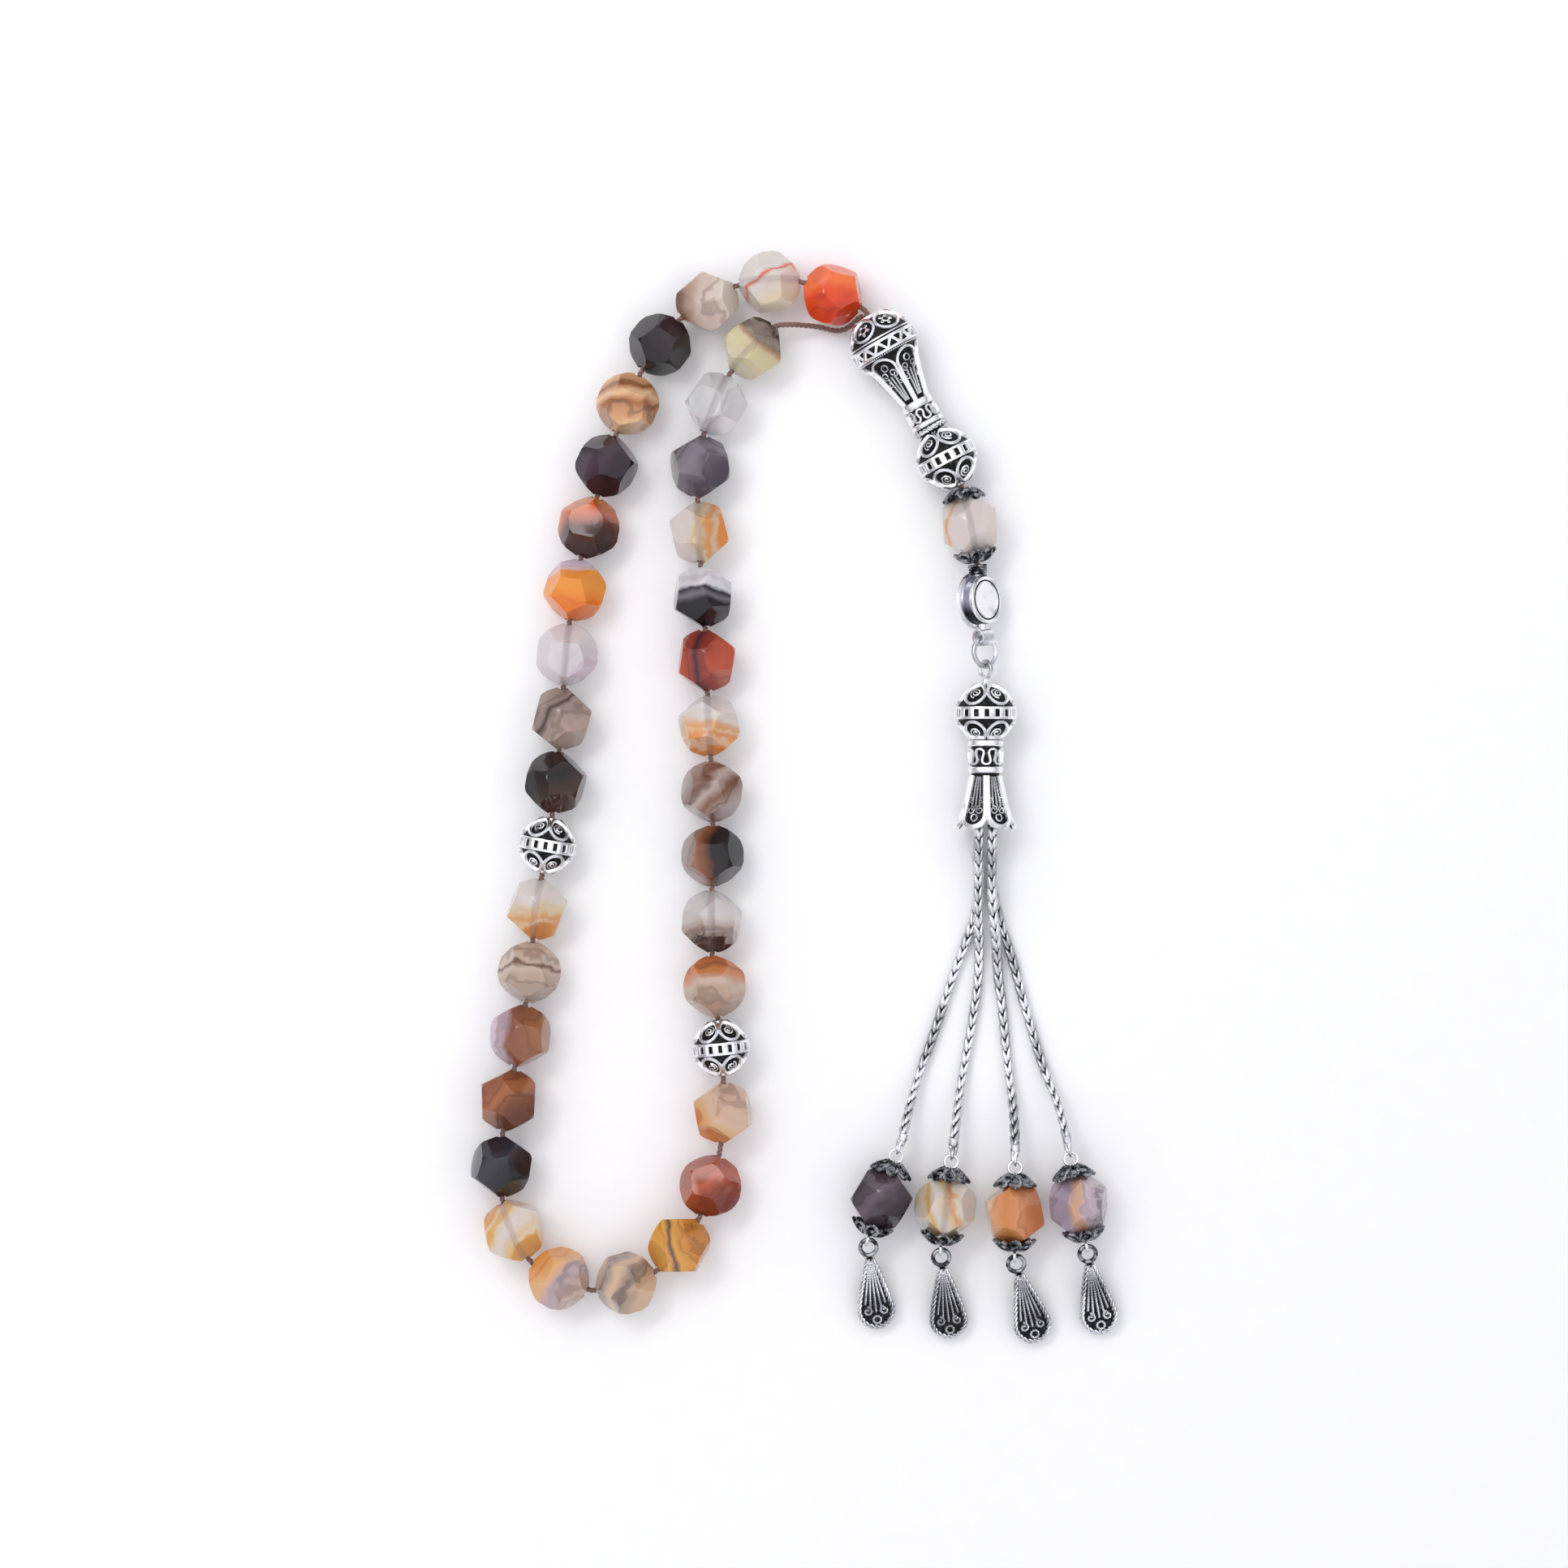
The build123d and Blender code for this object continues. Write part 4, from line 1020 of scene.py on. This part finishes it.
def cap_shapes(side, crest):
    """A cast flower cap on one end of a stone; crest is its height over the stone's middle."""
    dish = Turned([(-crest, 0.5), (-crest + 0.08, 1.0), (-5.4, 1.8), (-4.9, 2.5), (-4.5, 2.85), (-4.1, 3.05)])
    reach = dish.s[-1]
    t = around(16)
    petal, _ = dish.at(reach * 0.6 + reach * 0.38 * np.cos(t), 21 * np.sin(t) * (1 - 0.12 * np.cos(t)), 0.22)
    petal = rope(petal, 0.27, 0.5, True)
    pip, _ = dish.at(reach * 0.62 + 0.28 * np.cos(t), 8 * np.sin(t), 0.16)
    seed = wire(pip, np.tile([-1.0, 0, 0], (16, 1)), 0.17, True, 5)
    shapes = [round_x(joined([petal, seed]), 8)]
    collar, _ = dish.at(0.1, np.arange(24) * 15.0, 0.15)
    shapes.append(row_of_balls(collar, 0.2, 0.5, True))
    turns = np.arange(96) * 360 / 96
    rim = reach * (0.92 + 0.1 * np.cos(np.radians(turns * 8)))
    rows = []
    for share, lift in ((0.02, 0.1), (0.5, 0.12), (1, 0.1), (1, -0.18), (0.5, -0.2), (0.02, -0.2)):
        rows.append(dish.at(share * rim, turns, lift)[0])
    shapes.append(sheet(rows, wrap_rows=True))
    return [(p * np.array([-side, 1, -side]), f) for p, f in shapes]


def make_head_caps():
    piece = Piece("head_caps_silver").add(ANTIQUE, *cap_shapes(-1, 5.65), *cap_shapes(1, 5.65))
    piece.placed(joint_place("head_caps_spin"), "head_caps", ["head_caps"], "silver")


def turned_solid(outline, steps=64):
    """A solid lathe shape from (x, radius) points; sharp corners are given twice."""
    return sheet(lathed(*np.array(outline).T, steps))


def make_medallion():
    """A bare bezel disc with its ribbed neck and band bail."""
    hang = joint_place("medallion_swivel")
    face = hang.along(6.0).rolled(-49).about("z")
    rear = [(-1.45, 4.25), (-1.38, 4.42), (-1.15, 4.5), (-0.9, 4.42), (-0.78, 4.2), (-0.72, 3.9)]
    wall = [(-0.8, 3.7), (-0.75, 3.84), (0.0, 3.82), (0.75, 3.8), (0.86, 3.6)]
    bezel = [(0.8, 3.6), (0.92, 3.72), (1.2, 3.76), (1.38, 3.68), (1.45, 3.5)]
    bezel += [(1.4, 3.3), (1.3, 3.18), (1.28, 2.9)]
    neck = [(0.35, 0.62), (0.3, 0.95)]
    for k in range(4):
        neck += [(0.42 + k * 0.5, 1.32), (0.66 + k * 0.5, 1.38), (0.8 + k * 0.5, 1.12)]
    neck += [(2.6, 1.2), (3.2, 0.9)]
    tang = [(8.2, 0.6), (10.0, 0.7), (10.6, 0.68)]
    band = Turned([(-1.2, 1.38), (-1.0, 1.4), (1.0, 1.4), (1.2, 1.38)])
    piece = Piece("medallion_silver")
    bail = hang.along(11.84).rolled(-39).about("y")
    piece.add(SILVER, onto(face, turned_solid(rear)), onto(face, turned_solid(bezel)))
    # The disc's wall takes painted reflection and shade: pale on one side, nearly black on the other.
    piece.add(PAINTED_REFLECTION_SILVER, onto(face, turned_solid(wall)))
    piece.add(WORN, onto(hang, turned_solid(tang, 24)), onto(bail, band.wall(0.34, steps=40)))
    piece.add(BLACKENED, onto(face, ring((1.26, 0, 0), (0, 1, 0), (0, 0, 1), 3.06, 0.13, 48, 6)))
    piece.add(ANTIQUE, onto(hang, turned_solid(neck, 32)))
    border = ring((1.3, 0, 0), (0, 1, 0), (0, 0, 1), 2.75, 0.12, 48, 6)
    piece.add(SILVER, onto(face, border))
    points = []
    for rib in (0.55, 1.05, 1.55):
        points += [(rib, 1.3 * math.cos(t), 1.3 * math.sin(t)) for t in around(12)]
    piece.add(ANTIQUE, onto(hang, row_of_balls(points, 0.26, 0.7)))
    piece.placed(WORLD, "medallion", ["medallion"], "silver", 28)


def make_tassel_head(place):
    """Wire eye, pierced ball, scroll collar and a skirt of six petals."""
    ball_at = 8.2
    bright, dark = ball_shapes(BALL_RADIUS, 0.5, 2.75, (-1,))
    collar = arc_points((4.15, 2.6), (6.9, 2.58), (9.7, 2.5), 12)[:-1]
    skirt = Turned(collar + arc_points((9.7, 2.45), (14.0, 3.48), (18.3, 4.75), 40))
    bright += [skirt.hoop(4.75, 0.9, 0.3), skirt.hoop(8.95, 0.95, 0.3)]
    points, _ = skirt.at(skirt.run(4.35), np.arange(48) * 7.5, 0.22)
    bright.append(row_of_balls(points, 0.15, 0.36, True))
    bright.append(round_x(wave_unit(skirt, 6.85, 1.2, 8, 0.42), 8))
    petals = round_x(tongue_unit(skirt, 9.9, 17.95, 27.0, 0.8), 6)
    scrolls = round_x(filigree_unit(skirt, 10.0, 17.6, 0.75), 6)
    turns = np.arange(144) * 2.5
    off = (turns + 30) % 60 - 30
    arch = np.sqrt(np.clip(1 - (off / 29.5) ** 2, 0, 1))
    start = skirt.run(9.7)
    ends = skirt.run(18.1) - 2.35 * (1 - arch)
    out = [(share, -0.4) for share in np.linspace(0, 1, 14)]
    back = [(share, -0.62) for share in np.linspace(1, 0, 14)]
    rows = [skirt.at(start + share * (ends - start), turns, lift)[0] for share, lift in out + back]
    dark += [sheet(rows, wrap_rows=True), Turned([(4.0, 2.2), (9.9, 2.2)]).wall(bore=0.3)]

    def moved(shape):
        return shape[0] + np.array([ball_at, 0, 0]), shape[1]

    eye = ring((1.3, 0, 0), (1, 0, 0), (0, 0.629, 0.777), 1.3, 0.35)
    stem = turned_solid([(2.4, 0.3), (2.6, 0.5), (2.9, 0.62), (3.2, 0.75), (3.4, 0.7)], 24)
    piece = Piece("tassel_head_silver")
    piece.add(SILVER, *(moved(s) for s in bright), moved(petals), stem).add(WORN, eye)
    piece.add(BLACKENED, *(moved(s) for s in dark)).add(WORN, moved(scrolls))
    piece.placed(place, "tassel_head", ["tassel_head"], "silver")


def make_pendant_pin(number):
    """The wire through a pendant stone with its two eyes and flower caps."""
    place = joint_place(f"pendant_stone_{number}_spin")
    x, y, z = np.eye(3)
    wires = [
        ring((-7.1, 0, 0), x, y, 1.05, 0.25),
        ring((6.8, 0, 0), x, z, 0.85, 0.25),
        turned_solid([(-6.05, 0.23), (-5.9, 0.24), (5.8, 0.24), (5.95, 0.23)], 12),
        turned_solid([(-6.0, 0.3), (-5.9, 0.42), (-5.7, 0.42), (-5.6, 0.3)], 16),
    ]
    piece = Piece(f"pendant_pin_{number}_silver").add(SILVER, *wires)
    piece.add(ANTIQUE, *cap_shapes(-1, 6.0), *cap_shapes(1, 5.8))
    piece.placed(place, f"pendant_pin_{number}", [f"pendant_pin_{number}"], "silver")


DROP_SLOPE = math.radians(13.5)


def make_drop(number):
    """A flat tear: black panel, rope edge, five fine ropes and scrolls."""
    joint = JOINTS[f"drop_{number}_lift"]
    level = np.cross((0, 0, 1), joint["axis"])
    ahead = level * math.cos(DROP_SLOPE) - np.array([0, 0, math.sin(DROP_SLOPE)])
    place = Place(joint["pos_m"], ahead)
    start, end, wide = 2.6, 14.9, 3.1
    left = arc_points((start, 0.4), (start + 5.0, wide * 0.66), (end - wide, wide), 20)
    tip = arc_points((end - wide, wide), (end, 0), (end - wide, -wide), 22)
    edge = np.array(left[:-1] + tip + [(x, -y) for x, y in left[::-1]][1:])
    middle = np.array([9.5, 0])

    def layer(inset, z):
        shrunk = middle + (edge - middle) * np.array([1 - inset / 6.2, 1 - inset / wide])
        return np.c_[shrunk, np.full(len(shrunk), z)]

    heights = ((0.9, -0.75), (0.35, -0.7), (0.3, 0.1), (0.5, 0.35), (0.9, 0.42), (2.2, 0.5))
    panel = sheet([layer(inset, z) for inset, z in heights])
    rim = rope(layer(0.42, 0.3), 0.42, 0.85)
    under = rope(layer(0.42, -0.25), 0.4, 0.85)
    lines = []
    for k, stop in ((-2, 10.6), (-1, 11.2), (0, 12.0), (1, 11.2), (2, 10.6)):
        x = np.linspace(3.4, stop, 20)
        y = k * (0.1 + 0.78 * (x - 3.4) / 8)
        lines.append(rope(np.c_[x, y, np.full(20, 0.5)], 0.19, 0.42))
    for side in (-1, 1):
        u, v = curl(1.2, 0.75, 0.2, 180, side)
        lines.append(rope(np.c_[11.8 + u, side * 1.35 + v, np.full(len(u), 0.5)], 0.2, 0.4))
    a = np.linspace(0, 2 * math.pi, 20)
    lines.append(rope(np.c_[13.3 + 0.62 * np.cos(a), 0.62 * np.sin(a), np.full(20, 0.48)], 0.2, 0.4))
    hook = ring((1.3, 0, 0), (1, 0, 0), (0, 1, 0), 1.3, 0.35)
    piece = Piece(f"drop_{number}_silver").add(BLACKENED, panel)
    piece.add(WORN, rim, under, *lines).add(ANTIQUE, hook)
    piece.placed(place, f"drop_{number}", [f"drop_{number}"], "silver", 50)


CUT_ANGLE = math.radians(14)
EDGE_SOFTNESS = 0.1


def make_stone(number, name):
    """The cut stone with its edges just softened."""
    work = bmesh.new()
    work.from_mesh(frame["nodes"][name].data)
    bmesh.ops.remove_doubles(work, verts=work.verts, dist=1e-7)
    bmesh.ops.dissolve_limit(work, angle_limit=math.radians(0.6), verts=work.verts, edges=work.edges)
    sharp = [e for e in work.edges if len(e.link_faces) == 2 and e.calc_face_angle() > CUT_ANGLE]
    rounded = {"offset": EDGE_SOFTNESS * MM, "segments": 2, "profile": 0.5, "clamp_overlap": True}
    bmesh.ops.bevel(work, geom=sharp, affect="EDGES", **rounded)
    mesh = bpy.data.meshes.new(name + "_agate")
    work.to_mesh(mesh)
    work.free()
    mesh.shade_smooth()
    mesh.set_sharp_from_angle(angle=math.radians(12))
    mesh.materials.append(agate(name, number))
    made = bpy.data.objects.new(name + "_agate", mesh)
    bpy.context.scene.collection.objects.link(made)
    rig.ride(made, frame["nodes"][name]["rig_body"])
    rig.replaces(made, name)
    slots = {row["node"]: row["material_slot"] for row in frame["record"]["subparts"]}
    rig.slot(made, slots[name])


# ---- cords and chains --------------------------------------------------------------------------

CORD_DIAMETER = 0.9
CHAIN_DIAMETER = 1.9
BEAD_ORDER = (
    [f"stone_{k:02d}" for k in range(1, 12)] + ["divider_1"] + [f"stone_{k:02d}" for k in range(12, 23)]
    + ["divider_2"] + [f"stone_{k:02d}" for k in range(23, 34)]
)
# The bare stretch back to the headpiece, from its mouth: across, along Y, and height over the table.
RETURN_ROUTE = ((-8.0, -1.1, 2.2), (-4.7, -2.1, 2.2), (-2.7, -1.3, 3.2), (-1.0, 0.45, 4.45))
KNOT_AT, HOLE_AT, CORD_APART = 2.6, 0.9, 0.49

CHAIN_ROUTES = (
    ((-1.1, -5.5, 3.1), (-1.2, -10.5, 1.2), (-0.9, -15.2, 0.9), (-2.0, -20.5, 0.9), (-4.3, -26.2, 0.9),
     (-6.4, -32.4, 0.9), (-8.3, -38.2, 0.9), (-10.4, -43.8, 1.1), (-12.0, -48.9, 2.8)),
    ((-1.0, -5.5, 5.1), (-1.0, -10.8, 3.4), (-1.1, -15.4, 3.2), (-1.0, -19.5, 2.6), (-0.8, -24.6, 0.9),
     (-1.0, -29.8, 0.9), (-1.9, -35.5, 0.9), (-2.9, -41.0, 0.9), (-3.8, -46.0, 1.4), (-4.5, -50.4, 3.3)),
    ((1.0, -5.5, 5.6), (1.0, -10.8, 4.6), (1.1, -15.4, 4.3), (1.3, -19.2, 4.0), (1.9, -23.6, 2.0),
     (2.2, -28.4, 0.9), (3.0, -34.2, 0.9), (3.5, -40.2, 0.9), (4.2, -46.0, 1.3), (4.8, -50.9, 3.3)),
    ((1.1, -5.5, 3.1), (1.3, -10.5, 1.2), (1.4, -15.2, 0.9), (2.8, -20.4, 0.9), (4.7, -26.2, 0.9),
     (6.2, -32.0, 0.9), (8.0, -38.4, 0.9), (9.8, -43.9, 1.1), (12.0, -48.9, 2.8)),
)


def smooth_line(points):
    """A NURBS line with these control points, in metres, and the points that it passes."""
    data = bpy.data.curves.new("route", "CURVE")
    data.dimensions = "3D"
    data.resolution_u = 10
    spline = data.splines.new("NURBS")
    spline.points.add(len(points) - 1)
    for point, at in zip(spline.points, points):
        point.co = (*at, 1)
    spline.order_u = 3
    spline.use_endpoint_u = True
    thing = bpy.data.objects.new("route", data)
    mesh = bpy.data.meshes.new_from_object(thing)
    passed = [tuple(v.co) for v in mesh.vertices]
    bpy.data.objects.remove(thing)
    return data, passed


def length_of(points):
    return float(np.linalg.norm(np.diff(np.array(points), axis=0), axis=1).sum())


def loop_route():
    """Out of the headpiece's mouth, through every bore, and back under the first stone."""
    mouth = joint_place("imame_spin")
    out = [mouth.at((KNOT_AT, 0, CORD_APART)), mouth.at((HOLE_AT, 0, CORD_APART))]
    for n, name in enumerate(BEAD_ORDER):
        bead = joint_place(name + "_spin")
        half = DIVIDER_RADIUS if name.startswith("divider") else STONE_RADIUS
        if n == 0:
            out.append(bead.at((-half - 0.7, 0, 0)))
        out += [bead.at((x, 0, 0)) for x in (-half + 0.9, half - 0.9)]
        if n == len(BEAD_ORDER) - 1:
            out.append(bead.at((half + 0.5, 0, 0)))
    start = mouth.origin
    out += [np.array([start[0] + x * MM, start[1] + y * MM, z * MM]) for x, y, z in RETURN_ROUTE]
    return out + [mouth.at((HOLE_AT, 0, -CORD_APART)), mouth.at((KNOT_AT, 0, -CORD_APART))]


def make_loop_cord():
    data, passed = smooth_line(loop_route())
    sizes = {"Thickness": 0.24 * MM, "Spread": 0.22 * MM, "Pitch": 2.4 * MM, "Step": 0.28 * MM}
    shape = grown(data, TWIST, Strands=3, **sizes)
    cord = Piece("loop_cord_strands").add(CORD, shape)
    cord = cord.placed(None, "loop", ["loop_cord"], "cord", 60)
    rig.cord(
        cord, exit=passed[0], length=length_of(passed), diameter=CORD_DIAMETER * MM,
        far_end="object", stiffness="limp", lay="loose", path=passed,
    )


def make_chain(number):
    """A foxtail chain with its end ring and a crimp above it."""
    motion = "swing" if number in (1, 4) else "lift"
    top = np.array(JOINTS[f"chain_{number}_{motion}"]["pos_m"])
    middle = JOINTS["tassel_swing"]["pos_m"][0]
    pendant = joint_place(f"pendant_stone_{number}_spin")
    route = [top - np.array([0, 0.65 * MM, 0])]
    route += [np.array([middle + x * MM, y * MM, z * MM]) for x, y, z in CHAIN_ROUTES[number - 1]]
    route.append(pendant.at((-9.29, 0, 0)))
    data, passed = smooth_line(route)
    sizes = {"Step": 1.0 * MM, "Thickness": 0.34 * MM, "Spread": 0.52 * MM}
    points, faces = grown(data, FOXTAIL, **sizes)
    core, _ = smooth_line(route)
    sizes = {"Thickness": 0.3 * MM, "Spread": 0.2 * MM, "Pitch": 4.0 * MM, "Step": 0.7 * MM}
    inner = grown(core, TWIST, Strands=3, **sizes)
    end_ring = ring(pendant.at((-8.44, 0, 0)) / MM, pendant.x, pendant.z, 0.85, 0.25)
    eyelet = ring(top / MM, (0, 1, 0), (0, 0, 1), 0.65, 0.2)
    crimp = turned_solid([(-10.9, 0.55), (-10.8, 0.8), (-9.9, 0.85), (-9.5, 0.6), (-9.4, 0.3)], 20)
    crimp = onto(pendant, crimp)
    piece = Piece(f"chain_{number}_links").add(CHAIN, (points / MM, faces), end_ring, eyelet, crimp)
    piece.add(BLACKENED, (inner[0] / MM, inner[1]))
    chain = piece.placed(WORLD, f"chain_{number}", [f"chain_{number}"], "silver", 50)
    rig.cord(
        chain, exit=passed[0], length=length_of(passed), diameter=CHAIN_DIAMETER * MM,
        far_end="object", stiffness="limp", lay="loose", path=passed,
    )


# ---- making everything -------------------------------------------------------------------------

studio()
SILVER = finish_material("polished silver", bright_silver, Metallic=1.0)
BLACKENED = finish_material("oxidised silver", dark_silver, Metallic=0.7)
ANTIQUE = finish_material("antique cast silver", antique_silver, Metallic=1.0)
WORN = finish_material("worn filigree silver", chain_silver, Metallic=1.0)
# Silver with painted reflection and shade, for the medallion's wall.
PAINTED_REFLECTION_SILVER = finish_material("shaded silver", silver_with_painted_reflection, Metallic=1.0)
CHAIN = finish_material("chain silver", chain_silver, Metallic=1.0)
CORD = finish_material("waxed cord", waxed_cord)

make_loop_cord()
for k in range(1, 5):
    make_chain(k)

for k, bead_name in enumerate(STONES):
    make_stone(k, bead_name)
make_ball("divider_1", DIVIDER_RADIUS)
make_ball("divider_2", DIVIDER_RADIUS)
make_ball("imame_ball", BALL_RADIUS)
make_imame()
make_head_caps()
make_medallion()
make_tassel_head(Place(JOINTS["tassel_swing"]["pos_m"], (0, -1, 0)))
for k in range(1, 5):
    make_pendant_pin(k)
    make_drop(k)
for node, material in (("jump_ring", WORN), ("head_cord", CORD)):
    frame["nodes"][node].data.materials.clear()
    frame["nodes"][node].data.materials.append(material)

lay_floor()

with open("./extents.json", "w") as file:
    json.dump({"cad": CAD_BOX, "visual": box_of_all()}, file)
